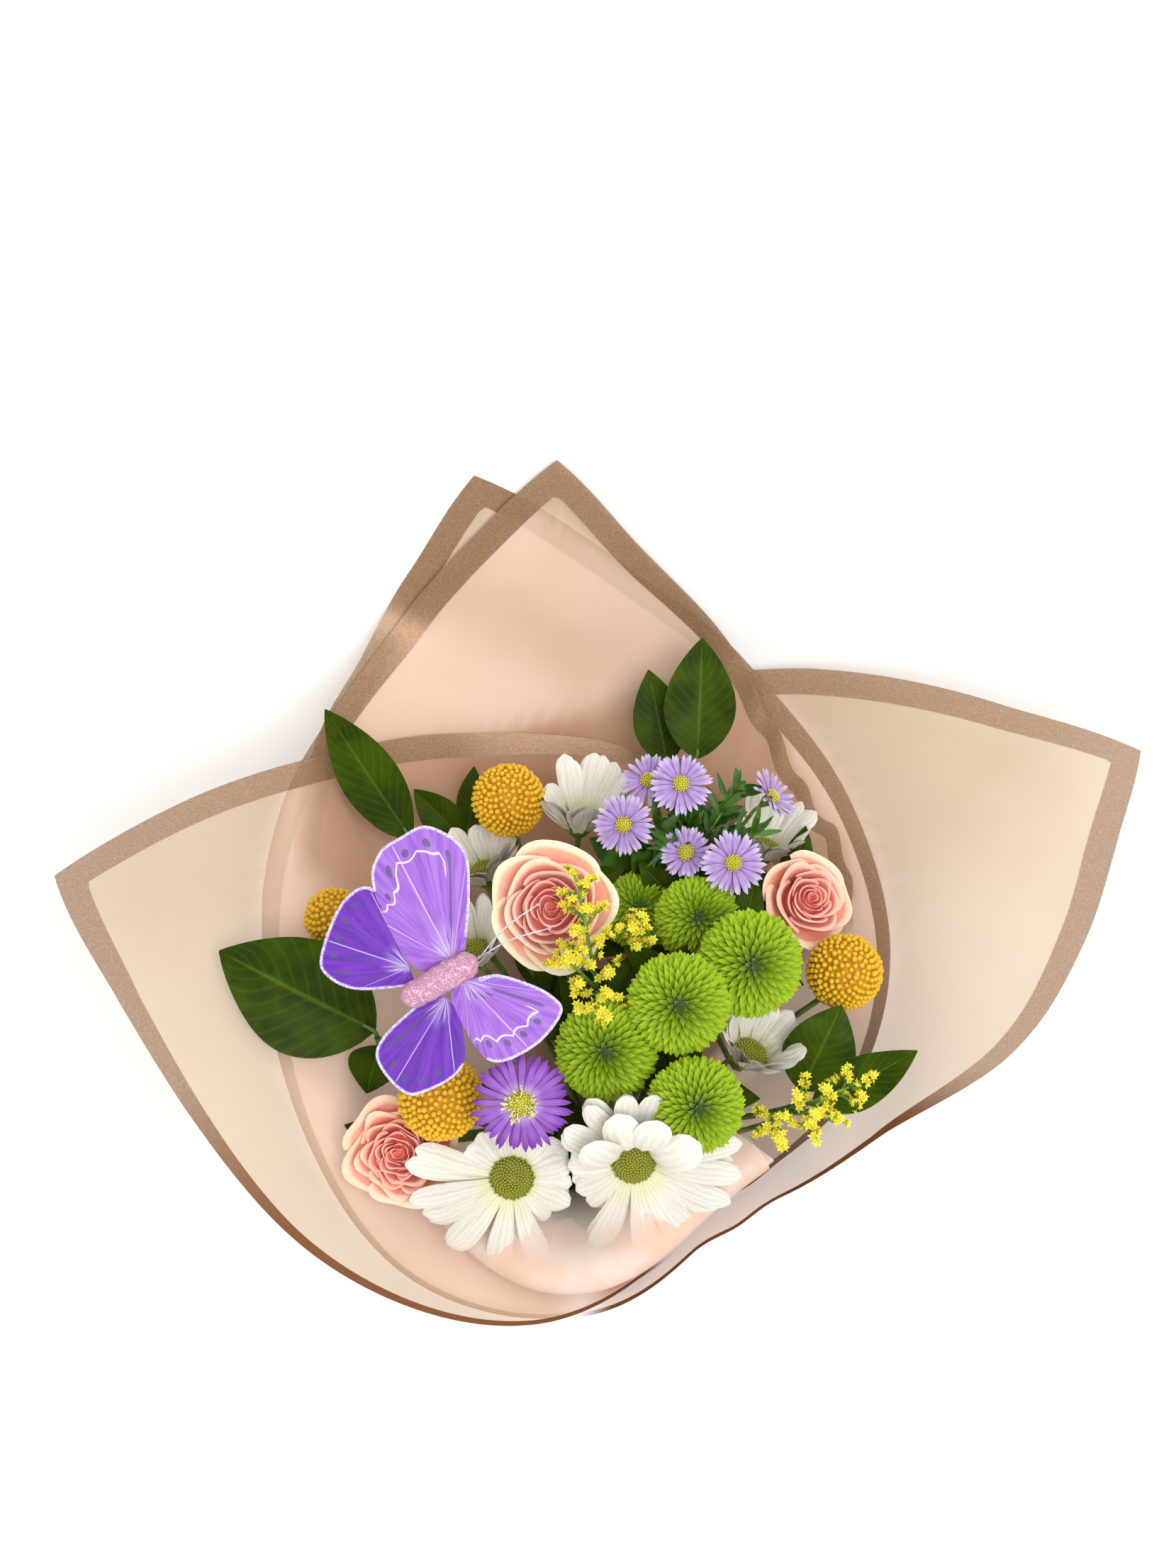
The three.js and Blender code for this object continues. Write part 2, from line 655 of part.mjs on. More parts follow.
const DAISIES = {
  front_left: { at: point(-38, -64, 178), face: facing(0, -0.56, 0.83), length: 30, count: 12, tilt: -0.02,
    spray: "front", shorter: [[100, 62, 0.42], [350, 55, 0.5]] },
  front_right: { at: point(6, -60, 184), face: facing(0.06, -0.66, 0.75), length: 31, count: 12, tilt: 0.04,
    spray: "front", shorter: [[90, 75, 0.5], [190, 58, 0.5]] },
  back_left: { at: point(-14, 80, 180), face: facing(0.05, 0.25, 0.96), length: 19, count: 9, tilt: 0.62,
    spray: "back", shorter: [[180, 60, 0.35], [330, 35, 0.5]] },
  left: { at: point(-52, 64, 166), face: facing(-0.3, 0.1, 0.95), length: 17, count: 9, tilt: 0.5,
    spray: "back", shorter: [[60, 70, 0.6]] },
  inner_left: { at: point(-55, 26, 172), face: facing(-0.3, -0.3, 0.9), length: 17, count: 9, tilt: 0.4,
    spray: "back", shorter: [] },
  right: { at: point(60, 74, 167), face: facing(0.1, 0.3, 0.95), length: 17, count: 9, tilt: 0.45,
    spray: "right", shorter: [[180, 50, 0.3], [300, 60, 0.7]] },
  low_right: { at: point(51, -14, 170), face: facing(0.3, -0.35, 0.88), length: 19, count: 10, tilt: 0.15,
    spray: "right", shorter: [] },
};

const POMPONS = {
  back: { at: point(9, 41, 180), face: facing(0, -0.1, 1), radius: 14 },
  back_right: { at: point(31, 31, 194), face: facing(0.05, -0.3, 0.95), radius: 15 },
  right: { at: point(49, 8, 206), face: facing(0.15, -0.45, 0.88), radius: 18 },
  middle: { at: point(22, -10, 212), face: facing(0, -0.5, 0.87), radius: 17 },
  left: { at: point(-4, -23, 199), face: facing(-0.1, -0.5, 0.86), radius: 17 },
  front: { at: point(28, -44, 200), face: facing(0.1, -0.55, 0.83), radius: 16 },
};

const ASTERS = [
  { at: point(25, 79, 213), face: facing(0, -0.3, 0.95), length: 10, lift: 0 },
  { at: point(13, 86, 203), face: facing(-0.3, 0, 0.95), length: 9.5, lift: 0.1 },
  { at: point(3, 64, 208), face: facing(-0.15, -0.45, 0.88), length: 9.5, lift: 0.1 },
  { at: point(44, 47, 210), face: facing(0.05, -0.35, 0.93), length: 10, lift: 0.05 },
  { at: point(27, 56, 200), face: facing(-0.2, -0.2, 0.95), length: 8, lift: 0.3 },
  { at: point(62, 84, 193), face: facing(0.7, 0.3, 0.64), length: 9.5, lift: 0.35 },
];
const VIOLET_ASTER = { at: point(-34, -48, 214), face: facing(-0.05, -0.5, 0.86), length: 13.5 };

const SPRIGS = {
  middle: { foot: point(-7, 0, 200), tip: point(-14, 25, 238), arms: 5, arm: 14 },
  right: { foot: point(62, -40, 178), tip: point(86, -36, 200), arms: 4, arm: 13 },
  small: { foot: point(6, 14, 200), tip: point(7, 20, 216), arms: 3, arm: 8 },
};

// Leaves of each foliage stem: root, tip and width
const FOLIAGE = {
  back_left: [
    { root: point(-82, 78, 168), tip: point(-119, 126, 192), width: 24 },
    { root: point(-82, 82, 160), tip: point(-112, 110, 177), width: 17 },
  ],
  back_middle: [
    { root: point(-60, 88, 152), tip: point(-58, 115, 163), width: 12 },
    { root: point(-62, 86, 150), tip: point(-82, 101, 166), width: 16 },
  ],
  back_right: [
    { root: point(35, 118, 162), tip: point(37, 157, 194), width: 30 },
    { root: point(23, 120, 154), tip: point(15, 150, 180), width: 22 },
  ],
  left: [
    { root: point(-92, -4, 168), tip: point(-149, 15, 197), width: 40 },
    { root: point(-92, -4, 152), tip: point(-95, -24, 158), width: 20 },
  ],
  right: [
    { root: point(76, -26, 158), tip: point(80, -2, 180), width: 24 },
    { root: point(76, -28, 150), tip: point(112, -18, 178), width: 20 },
  ],
};

// Butterfly outlines in millimetres about its body, in the plane that faces the viewer
const BUTTERFLY = {
  at: point(-61, -12, 236),
  wings: {
    upper: [
      [[8, 12.5], [9.5, 31.5], [7.5, 47], [-5, 55], [-15, 51], [-22.5, 45], [-24, 33], [-12, 8], [-1, 3.5]],
      [[-14, 12], [-24, 33], [-35, 28.5], [-42.5, 10], [-40, 2.5], [-29.5, -2], [-9, -0.5]],
    ],
    lower: [
      [[12, 1], [18, 3.5], [28, 1], [37.5, -3.5], [41.5, -10], [31.5, -22], [16, -26.5], [4, -8], [2.8, 2]],
      [[6, -9], [7, -28.5], [-7, -38], [-15, -37], [-23, -26.5], [-20.5, -18], [-9, -7], [-3.5, -0.9]],
    ],
  },
  tail: [-13.5, -5.5],
  head: [12, 9],
  antennae: [[33, 28], [37, 20]],
};

// Build

const pieces = [];
function piece(name, geometry, colour, roughness = 0.6) {
  pieces.push({ name, geometry, colour, roughness });
}

for (const [name, spec] of Object.entries(SHEETS)) piece(name, sheet(spec), COLOURS.film, 0.35);
piece("wrap_front_liner", liner(), COLOURS.frost, 0.4);
piece("ribbon_band", ribbon(), COLOURS.ribbon, 0.35);

// Stems are declared first, so that their slots in the tie settle together.
const roseStems = {};
for (const [name, { at, face }] of Object.entries(ROSES))
  roseStems[name] = shoot(at.clone().addScaledVector(face, -2 - SEAT_GAP), back(face), 2.3);
const ballStems = {};
for (const [name, { at, radius }] of Object.entries(BALLS)) {
  const down = point(-at.x * 0.4, -at.y * 0.4, -at.z).normalize();
  ballStems[name] = shoot(at.clone().addScaledVector(down, radius * (1 - KNOB) + 1), down, 1.2, 10);
}
const pomponStems = {};
for (const [name, { at, face, radius }] of Object.entries(POMPONS))
  pomponStems[name] = shoot(at.clone().addScaledVector(face, -radius * 0.1), back(face), 1.3, radius * 1.5);
const SPRAYS = { front: point(-14, -46, 118), back: point(-26, 30, 106), right: point(38, 44, 108) };
const sprayStems = {};
for (const [name, fork] of Object.entries(SPRAYS))
  sprayStems[name] = shoot(fork, point(0, 0, -1), 1.7, 6);
const asterStem = shoot(point(26, 62, 140), point(0, 0, -1), 1.6, 8);
const violetStem = shoot(VIOLET_ASTER.at.clone().addScaledVector(VIOLET_ASTER.face, -5),
  back(VIOLET_ASTER.face), 1.6, 14);
const sprigStems = {};
for (const [name, { foot, tip }] of Object.entries(SPRIGS))
  sprigStems[name] = shoot(foot, foot.clone().sub(tip).setZ(-60).normalize(), 1.1, 10);
const leafStems = {};
for (const [name, leaves] of Object.entries(FOLIAGE)) {
  const top = leaves[0].root.clone().lerp(leaves[1].root, 0.5);
  leafStems[name] = shoot(top, point(-top.x * 0.5, -top.y * 0.5, -top.z).normalize(), 1.3, 20);
}
const pickFoot = BUTTERFLY.at.clone().addScaledVector(VIEWER, -6);
const pickStem = shoot(pickFoot, point(0.25, 0, -1).normalize(), 0.6, 20);
settle("waist", WAIST_GAP, BEND_RADIUS);
for (const stem of shoots) stem.slot = stem.waist.clone().multiplyScalar(BUNDLE_RADIUS / BEND_RADIUS).setZ(0);
settle("slot", STEM_GAP, BUNDLE_RADIUS);

// Roses
for (const [name, { at, face, radius, high, whorls }] of Object.entries(ROSES)) {
  piece(`rose_${name}_bloom`, placed(rose(radius, high, whorls), at, face), COLOURS.rose, 0.55);
  const cup = turned([[0, -2 - SEAT_GAP], [5, -2 - SEAT_GAP], [4.2, -8], [0, -11]], 8);
  const sepals = [];
  for (let i = 0; i < 5; i++) {
    const turn = (2 * Math.PI * i) / 5;
    const away = point(Math.cos(turn) * 0.9, Math.sin(turn) * 0.9, -0.45);
    const root = point(Math.cos(turn) * 3, Math.sin(turn) * 3, -4.4);
    const shape = { length: radius * 0.62, width: 5, bend: -0.5, outline: SEPAL_OUTLINE };
    sepals.push(placed(blade(shape), root, square(point(0, 0, 1), away), away));
  }
  const green = [cup, ...sepals].map((part) => placed(part, at, face));
  piece(`rose_${name}_stem`, fused([...green, stemRod(roseStems[name])]), COLOURS.stem);
}

// Craspedia
for (const [name, { at, radius, splits }] of Object.entries(BALLS)) {
  const ball = knobbedBall(radius, splits, radius * KNOB);
  piece(`craspedia_${name}_ball`, placed(ball, at, point(0, 0, 1)), COLOURS.craspedia, 0.8);
  piece(`craspedia_${name}_stem`, stemRod(ballStems[name]), COLOURS.stem);
}

// Daisies
const sprayParts = { front: [], back: [], right: [] };
for (const [name, { at, face, length, count, shorter, spray, tilt }] of Object.entries(DAISIES)) {
  const inFront = spray === "front";
  const disc = inFront ? 8.5 : 7;
  const start = disc - 2 + Math.min(2.4, 4.5 * Math.max(0, tilt));
  const shape = { count, start, length, width: 8.4, inner: 3.4, tilt, shorter };
  piece(`daisy_${name}_petals`, placed(rays(shape), at, face), COLOURS.daisy, 0.5);
  const green = discParts(disc, 3, 4.2, 8).map((part) => placed(part, at, face));
  const top = at.clone().addScaledVector(face, -5);
  sprayParts[spray].push(...green, twig(sprayStems[spray], sprayStems[spray].base.z - 4, top, back(face), 1.3));
}
for (const [name, parts] of Object.entries(sprayParts))
  piece(`daisy_${name}_spray`, fused([...parts, stemRod(sprayStems[name])]), COLOURS.disc, 0.7);

// Button chrysanthemums
for (const [name, { at, face, radius }] of Object.entries(POMPONS)) {
  const bloom = placed(pompon(radius, 3, 8), at, face);
  piece(`button_mum_${name}`, fused([bloom, stemRod(pomponStems[name])]), COLOURS.pompon, 0.6);
}

// Asters
const asterGreen = [stemRod(asterStem)];
ASTERS.forEach(({ at, face, length, lift }, i) => {
  const ring = rays({ count: 10, start: 3, length, width: 2.8, inner: 1.6, tilt: lift });
  piece(`aster_petals_${i + 1}`, placed(ring, at, face), COLOURS.aster, 0.5);
  asterGreen.push(...discParts(3.4, 1.2, 2, 5).map((part) => placed(part, at, face)));
  const top = at.clone().addScaledVector(face, -5);
  asterGreen.push(twig(asterStem, asterStem.base.z - 6 - i * 4, top, back(face), 1));
});
const SPRIG_LEAF = [[0, 0.3], [0.45, 1], [1, 0.08]];
const ASTER_LEAVES = [
  [point(32, 64, 186), point(44, 76, 204)], [point(30, 66, 182), point(29, 73, 199)],
  [point(33, 62, 190), point(56, 62, 206)],
];
for (const [root, tip] of ASTER_LEAVES) {
  asterGreen.push(rod([asterStem.base, root], 1, 4));
  asterGreen.push(bladeBetween(root, tip, VIEWER, { width: 5, outline: SPRIG_LEAF, bend: 0.2 }));
}
piece("aster_leafy_stem", fused(asterGreen), COLOURS.stem);
const violetRing = rays({ count: 15, start: 4.4, length: VIOLET_ASTER.length, width: 3, inner: 1.6 });
piece("violet_aster_petals", placed(violetRing, VIOLET_ASTER.at, VIOLET_ASTER.face), COLOURS.violet, 0.5);
const violetGreen = discParts(5, 1.2, 3, 8).map((part) => placed(part, VIOLET_ASTER.at, VIOLET_ASTER.face));
piece("violet_aster_stem", fused([...violetGreen, stemRod(violetStem)]), COLOURS.disc);

// Solidago: each arm swells into two florets
const FLORETS = [[0, 0.7], [0.4, 0.7], [0.6, 2.1], [0.78, 0.8], [1, 2.2], [1.15, 0.4]];
for (const [name, { foot, tip, arms, arm }] of Object.entries(SPRIGS)) {
  const parts = [stemRod(sprigStems[name], 4), rod([foot, tip], [1, 0.7], 4)];
  const along = tip.clone().sub(foot).normalize();
  for (let i = 0; i < arms; i++) {
    const turn = i * 2.4;
    const root = foot.clone().lerp(tip, (i + 0.6) / arms);
    const reach = arm * (1.1 - (0.7 * i) / arms);
    const out = square(point(Math.cos(turn), Math.sin(turn), 0), along);
    const end = root.clone().addScaledVector(out, reach * 0.8).addScaledVector(along, reach * 0.6);
    const beads = FLORETS.map(([share]) => root.clone().lerp(end, share));
    parts.push(rod(beads, FLORETS.map(([, swell]) => swell), 4));
  }
  parts.push(closed(new THREE.OctahedronGeometry(2.2, 0).translate(...tip.toArray())));
  piece(`solidago_${name}_sprig`, fused(parts), COLOURS.solidago, 0.8);
}

// Foliage
for (const [name, leaves] of Object.entries(FOLIAGE)) {
  const parts = [stemRod(leafStems[name])];
  for (const { root, tip, width } of leaves) {
    parts.push(rod([leafStems[name].top, root.clone().lerp(tip, 0.08)], 1, 4));
    parts.push(bladeBetween(root, tip, VIEWER, { width, outline: LEAF_OUTLINE, fold: 0.12, bend: -0.3 }));
  }
  piece(`foliage_${name}_stem`, fused(parts), COLOURS.leaf, 0.35);
}

// Butterfly
const across = point(1, 0, 0);
const upwards = VIEWER.clone().cross(across);
const inPlane = ([x, y], lift = 0) =>
  BUTTERFLY.at.clone().addScaledVector(across, x).addScaledVector(upwards, y).addScaledVector(VIEWER, lift);
const wingDepth = 0.8;
const wingLift = { upper: 0, lower: -0.2 };
for (const [name, outlines] of Object.entries(BUTTERFLY.wings)) {
  const wings = outlines.map((outline, k) => {
    const curve = new THREE.CatmullRomCurve3(outline.map(([x, y]) => point(x, y, 0)), true, "centripetal");
    const shape = new THREE.Shape(curve.getPoints(18).slice(0, -1));
    const plate = new THREE.ExtrudeGeometry(shape, { depth: wingDepth, bevelEnabled: false });
    return placed(closed(plate), inPlane([0, 0], wingLift[name] - 0.5 * k), VIEWER, upwards);
  });
  piece(`butterfly_${name}_wings`, fused(wings), COLOURS.wing, 0.5);
}
const [tail, head] = [inPlane(BUTTERFLY.tail, 4), inPlane(BUTTERFLY.head, 4)];
const bodyPoints = [0, 0.12, 0.35, 0.7, 0.9, 1].map((t) => tail.clone().lerp(head, t));
piece("butterfly_body", rod(bodyPoints, [1.5, 2.4, 2.9, 3, 2.6, 1.4], 8), COLOURS.glitter, 0.9);
const chin = head.clone().addScaledVector(head.clone().sub(tail).normalize(), 1.3);
const throat = chin.clone().addScaledVector(VIEWER, -5.6);
const feelers = BUTTERFLY.antennae.map((tip) => rod([chin, inPlane(tip, 9)], 0.4, 4));
const pick = rod([chin, throat, pickFoot], 0.6, 4);
piece("butterfly_wire", fused([...feelers, pick, stemRod(pickStem, 4)]), COLOURS.wire, 0.3);

const bouquet = new THREE.Group();
for (const { name, geometry, colour, roughness } of pieces) {
  const material = new THREE.MeshStandardMaterial({ color: colour, roughness, metalness: 0 });
  const mesh = new THREE.Mesh(geometry, material);
  mesh.name = name;
  bouquet.add(mesh);
}

// Lays the bouquet on its back: the stems' direction becomes (0, -cos LEAN, sin LEAN).
const lying = new THREE.Matrix4().makeBasis(
  point(-1, 0, 0),
  point(0, -Math.sin(LEAN), -Math.cos(LEAN)),
  point(0, -Math.cos(LEAN), Math.sin(LEAN)),
);
bouquet.setRotationFromMatrix(lying);
bouquet.position.set(PLAN_SHIFT.x, PLAN_SHIFT.y, TIE_HEIGHT);

const part = new THREE.Group();
part.add(bouquet);

export default part;
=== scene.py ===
"""Detailed look of a mixed bouquet in its film wrap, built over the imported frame.

Pieces are drawn in millimetres in the bouquet's own axes: side, back and along the stems towards the
blooms, with the middle of the tie as origin. `lay` turns them into metres in the row frame.
"""
import logging
import math
from dataclasses import dataclass, field
from enum import Enum
from itertools import combinations

import bpy
import numpy as np
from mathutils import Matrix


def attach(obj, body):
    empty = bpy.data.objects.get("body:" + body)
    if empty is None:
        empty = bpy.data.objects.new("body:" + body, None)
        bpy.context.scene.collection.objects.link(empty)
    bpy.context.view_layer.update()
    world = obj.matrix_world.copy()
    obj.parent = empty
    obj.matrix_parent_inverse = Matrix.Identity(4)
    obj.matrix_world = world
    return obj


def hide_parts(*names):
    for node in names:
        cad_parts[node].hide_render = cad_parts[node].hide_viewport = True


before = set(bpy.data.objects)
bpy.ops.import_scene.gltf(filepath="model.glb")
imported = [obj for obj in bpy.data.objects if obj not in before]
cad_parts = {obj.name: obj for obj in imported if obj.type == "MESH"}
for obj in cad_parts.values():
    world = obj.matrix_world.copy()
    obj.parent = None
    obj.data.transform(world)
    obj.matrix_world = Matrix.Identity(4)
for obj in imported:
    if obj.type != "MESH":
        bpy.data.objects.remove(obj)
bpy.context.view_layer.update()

Array = np.ndarray
Triple = tuple[float, float, float]
Pairs = list[tuple[float, float]]
Values = Array | float
Chance = np.random.Generator
Socket = bpy.types.NodeSocket
Given = Socket | float
Paint = bpy.types.Material
seeded = np.random.default_rng

log = logging.getLogger("bouquet")

MM = 0.001
LEAN = math.radians(30)
TIE_HEIGHT = 70.0
PLAN_SHIFT = (-1.21, 105.52)
FULL_TURN = 2 * math.pi
GOLDEN_TURN = math.pi * (3 - math.sqrt(5))
CLOSED = 0.02  # radius at which a round end counts as closed
TOWARDS_VIEWER = (0, -0.47, 0.88)


class Slot(Enum):
    """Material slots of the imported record."""

    FILM = "film"
    FROST = "frosted_film"
    RIBBON = "ribbon"
    ROSE = "rose_petal"
    BALL = "craspedia"
    DAISY = "daisy_petal"
    GREEN = "daisy_green"
    BUTTON = "button_mum"
    ASTER = "aster_petal"
    VIOLET = "violet_petal"
    SPRIG = "solidago"
    STEM = "stem"
    LEAF = "leaf"
    WING = "wing"
    GLITTER = "glitter_body"
    WIRE = "wire"


def triple(x: float, y: float, z: float) -> Array:
    """Returns a point or direction."""
    return np.array([x, y, z], float)


def vec(values: Triple | Pairs | tuple) -> Array:
    """Returns the values as an array of floats."""
    return np.array(values, float)


def unit(vector: Array) -> Array:
    """Returns the vector scaled to length one."""
    return vector / np.linalg.norm(vector, axis=-1, keepdims=True)


def ease(value: Values, low: float, high: float) -> Values:
    """Returns a smooth step from 0 at `low` to 1 at `high`."""
    t = np.clip((value - low) / (high - low), 0, 1)
    return t * t * (3 - 2 * t)


def lay(points: Array) -> Array:
    """Turns bouquet millimetres into metres in the row frame.

    Args:
        points: array whose last axis is side, back and along.

    Returns:
        An array of the same shape, in the row frame.
    """
    side, back, along = points[..., 0], points[..., 1], points[..., 2]
    x = PLAN_SHIFT[0] - side
    y = PLAN_SHIFT[1] - back * math.sin(LEAN) - along * math.cos(LEAN)
    z = TIE_HEIGHT + along * math.sin(LEAN) - back * math.cos(LEAN)
    return np.stack([x, y, z], -1) * MM


def square(face: Array, way: Array) -> Array:
    """Returns the part of `face` that is square to `way`, with length one."""
    along = unit(way)
    return unit(face - along * float(face @ along))


@dataclass(frozen=True)
class Stand:
    """Place and facing of a bloom or blade.

    Attributes:
        at: the origin of the piece's own axes.
        face: direction of its z axis.
        up: direction that its y axis keeps nearest to.
    """

    at: Triple
    face: Triple
    up: Triple = (0.0, 1.0, 0.0)

    def axis(self) -> Array:
        """Returns its z axis."""
        return unit(vec(self.face))

    def axes(self) -> Array:
        """Returns the three axes as rows."""
        z = self.axis()
        x = unit(np.cross(vec(self.up), z))
        return np.array([x, np.cross(z, x), z])

    def place(self, points: Array) -> Array:
        """Returns points given in the stand's own axes, in the bouquet's."""
        return vec(self.at) + points @ self.axes()

    def offset(self, x: Values, y: Values, z: Values) -> Array:
        """Returns the points that have these coordinates in the stand's own axes."""
        return self.place(np.stack(np.broadcast_arrays(x, y, z), -1))


@dataclass
class Shape:
    """Grids of quads gathered for one piece, with the coordinates that its materials read."""

    points: list[Array] = field(default_factory=list)
    faces: list[Array] = field(default_factory=list)
    maps: list[Array] = field(default_factory=list)
    marks: list[Array] = field(default_factory=list)
    slots: list[Array] = field(default_factory=list)
    count: int = 0

    def add(
        self,
        points: Array,
        across: Values = 0.0,
        along: Values = 0.0,
        marks: tuple = (0.0, 0.0, 0.0),
        slot: int = 0,
        closed: bool = False,
    ) -> None:
        """Adds one grid, or many grids of one size.

        Args:
            points: (rows, columns, 3) or (grids, rows, columns, 3).
            across: first surface coordinate, of a shape that fits (grids, rows, columns).
            along: second surface coordinate, likewise.
            marks: three values that the materials read, likewise.
            slot: index of the material.
            closed: True where the last column joins the first.
        """
        points = points if points.ndim == 4 else points[None]
        size = points.shape[:3]
        index = self.count + np.arange(int(np.prod(size))).reshape(size)
        if closed:
            index = np.concatenate([index, index[:, :, :1]], 2)
        corners = [index[:, :-1, :-1], index[:, :-1, 1:], index[:, 1:, 1:], index[:, 1:, :-1]]
        quads = np.stack(corners, -1).reshape(-1, 4)
        self.points.append(points.reshape(-1, 3))
        self.faces.append(quads)
        self.maps.append(np.stack([np.broadcast_to(a, size) for a in (across, along)], -1).reshape(-1, 2))
        self.marks.append(np.stack([np.broadcast_to(a, size) for a in marks], -1).reshape(-1, 3))
        self.slots.append(np.full(len(quads), slot))
        self.count += int(np.prod(size))

    def area(self) -> float:
        """Returns the area of all quads in square metres."""
        corner = np.concatenate(self.points)[np.concatenate(self.faces)]
        across = np.cross(corner[:, 2] - corner[:, 0], corner[:, 3] - corner[:, 1])
        return float(np.linalg.norm(across, axis=1).sum() / 2) * MM * MM

    def mesh(self, name: str) -> bpy.types.Mesh:
        """Returns a smooth mesh in the row frame with its surface coordinates.

        Args:
            name: the mesh's name.
        """
        faces = np.concatenate(self.faces)
        mesh = bpy.data.meshes.new(name)
        mesh.from_pydata(lay(np.concatenate(self.points)).tolist(), [], faces.tolist())
        loops = faces.reshape(-1)
        mesh.uv_layers.new(name="Surface").uv.foreach_set("vector", np.concatenate(self.maps)[loops].ravel())
        marks = np.concatenate(self.marks)
        colour = np.concatenate([marks, np.ones((len(marks), 1))], 1)
        mesh.color_attributes.new("Marks", "FLOAT_COLOR", "POINT").data.foreach_set("color", colour.ravel())
        mesh.polygons.foreach_set("material_index", np.concatenate(self.slots).astype(np.int32))
        mesh.shade_smooth()
        return mesh


def put(name: str, data: bpy.types.ID) -> bpy.types.Object:
    """Returns a new object of the scene that shows the data."""
    made = bpy.data.objects.new(name, data)
    bpy.context.scene.collection.objects.link(made)
    return made


def make_piece(name: str, shape: Shape, finishes: list[str], nodes: list[str]) -> bpy.types.Object:
    """Makes one piece that stands for CAD nodes and rides on the bouquet's body.

    Args:
        name: the piece's name.
        shape: its grids.
        finishes: names of its materials, in the order of the shape's slot numbers.
        nodes: the CAD nodes that it stands for.

    Returns:
        The new object.
    """
    piece = put(name, shape.mesh(name))
    for finish in Palette.get(*finishes):
        piece.data.materials.append(finish)
    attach(piece, "root")
    if nodes:
        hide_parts(*nodes)
    log.info("%s: %d faces", name, len(piece.data.polygons))
    return piece


# Shader building


def tint(code: str) -> tuple[float, float, float, float]:
    """Returns a linear colour from a six-digit sRGB code, "rrggbb"."""
    parts = [int(code[i : i + 2], 16) / 255 for i in (0, 2, 4)]
    linear = [c / 12.92 if c <= 0.04045 else ((c + 0.055) / 1.055) ** 2.4 for c in parts]
    return (*linear, 1.0)


@dataclass
class Tree:
    """Short ways to lay out shader nodes."""

    tree: bpy.types.NodeTree

    def add(self, kind: str, inputs: dict | None = None, **settings: object) -> bpy.types.Node:
        """Adds a node.

        Args:
            kind: its type, without "ShaderNode".
            inputs: values, colour codes or sockets for its inputs, by name or index.
            **settings: its own properties.

        Returns:
            The node.
        """
        node = self.tree.nodes.new("ShaderNode" + kind)
        for key, value in settings.items():
            setattr(node, key, value)
        for key, value in (inputs or {}).items():
            if isinstance(value, Socket):
                self.tree.links.new(value, node.inputs[key])
            else:
                node.inputs[key].default_value = tint(value) if isinstance(value, str) else value
        return node

    def maths(self, operation: str, *values: Given) -> Socket:
        """Returns the result of a Math node over one or two values."""
        return self.add("Math", dict(enumerate(values)), operation=operation).outputs[0]

    def times(self, first: Given, second: Given) -> Socket:
        """Returns the product of two values."""
        return self.maths("MULTIPLY", first, second)

    def plus(self, first: Given, second: Given) -> Socket:
        """Returns the sum of two values."""
        return self.maths("ADD", first, second)

    def minus(self, first: Given, second: Given) -> Socket:
        """Returns the first value less the second."""
        return self.maths("SUBTRACT", first, second)

    def ripple(self, value: Socket) -> Socket:
        """Returns the sine of a value without its sign."""
        return self.maths("ABSOLUTE", self.maths("SINE", value))

    def mix(self, share: Given, first: Socket | str, second: Socket | str, way: str = "MIX") -> Socket:
        """Returns two colours blended by `share` in the given way."""
        node = self.add("Mix", {0: share, 6: first, 7: second}, data_type="RGBA", blend_type=way)
        return node.outputs[2]

    def between(self, value: Socket, low: float, high: float, first: float = 0.0, last: float = 1.0) -> Socket:
        """Returns `value` mapped smoothly from low…high to first…last."""
        inputs = {0: value, 1: low, 2: high, 3: first, 4: last}
        return self.add("MapRange", inputs, interpolation_type="SMOOTHSTEP").outputs[0]

    def surface(self) -> tuple[Socket, Socket]:
        """Returns the surface coordinates, across and along."""
        split = self.add("SeparateXYZ", {0: self.add("UVMap", uv_map="Surface").outputs[0]})
        return tuple(split.outputs)[:2]

    def marks(self) -> tuple[Socket, Socket, Socket]:
        """Returns the three marks of the surface."""
        split = self.add("SeparateColor", {0: self.add("VertexColor", layer_name="Marks").outputs[0]})
        return tuple(split.outputs)

    def noise(self, scale: Given, detail: float) -> Socket:
        """Returns noise over the object's own coordinates, in features per metre."""
        place = self.add("TexCoord").outputs["Object"]
        return self.add("TexNoise", {"Vector": place, "Scale": scale, "Detail": detail}).outputs["Fac"]

    def bump(self, height: Socket, distance: float, strength: float = 1.0) -> Socket:
        """Returns a normal raised by `height` times `distance` in metres."""
        return self.add("Bump", {"Height": height, "Distance": distance, "Strength": strength}).outputs[0]


class Material(Tree):
    """A material round one Principled shader."""

    def __init__(self, name: str, **constants: object) -> None:
        """Makes it.

        Args:
            name: the material's name.
            **constants: values for the shader's own sockets, with _ for a space.
        """
        self.material = bpy.data.materials.new(name)
        self.material.use_nodes = True
        super().__init__(self.material.node_tree)
        self.shader = self.tree.nodes["Principled BSDF"]
        for key, value in constants.items():
            self.shader.inputs[key.replace("_", " ")].default_value = value

    def feed(self, **sockets: Socket) -> Paint:
        """Links sockets to the shader's inputs, with _ for a space, and returns the material."""
        for key, socket in sockets.items():
            self.tree.links.new(socket, self.shader.inputs[key.replace("_", " ")])
        return self.material

    def effect(self, name: str, **inputs: Given | str) -> tuple[Socket, Socket]:
        """Places a shared effect.

        Args:
            name: the effect's name.
            **inputs: values, colour codes or sockets for its inputs.

        Returns:
            Its two outputs.
        """
        return tuple(self.add("Group", inputs, node_tree=Effects.get(name)).outputs)


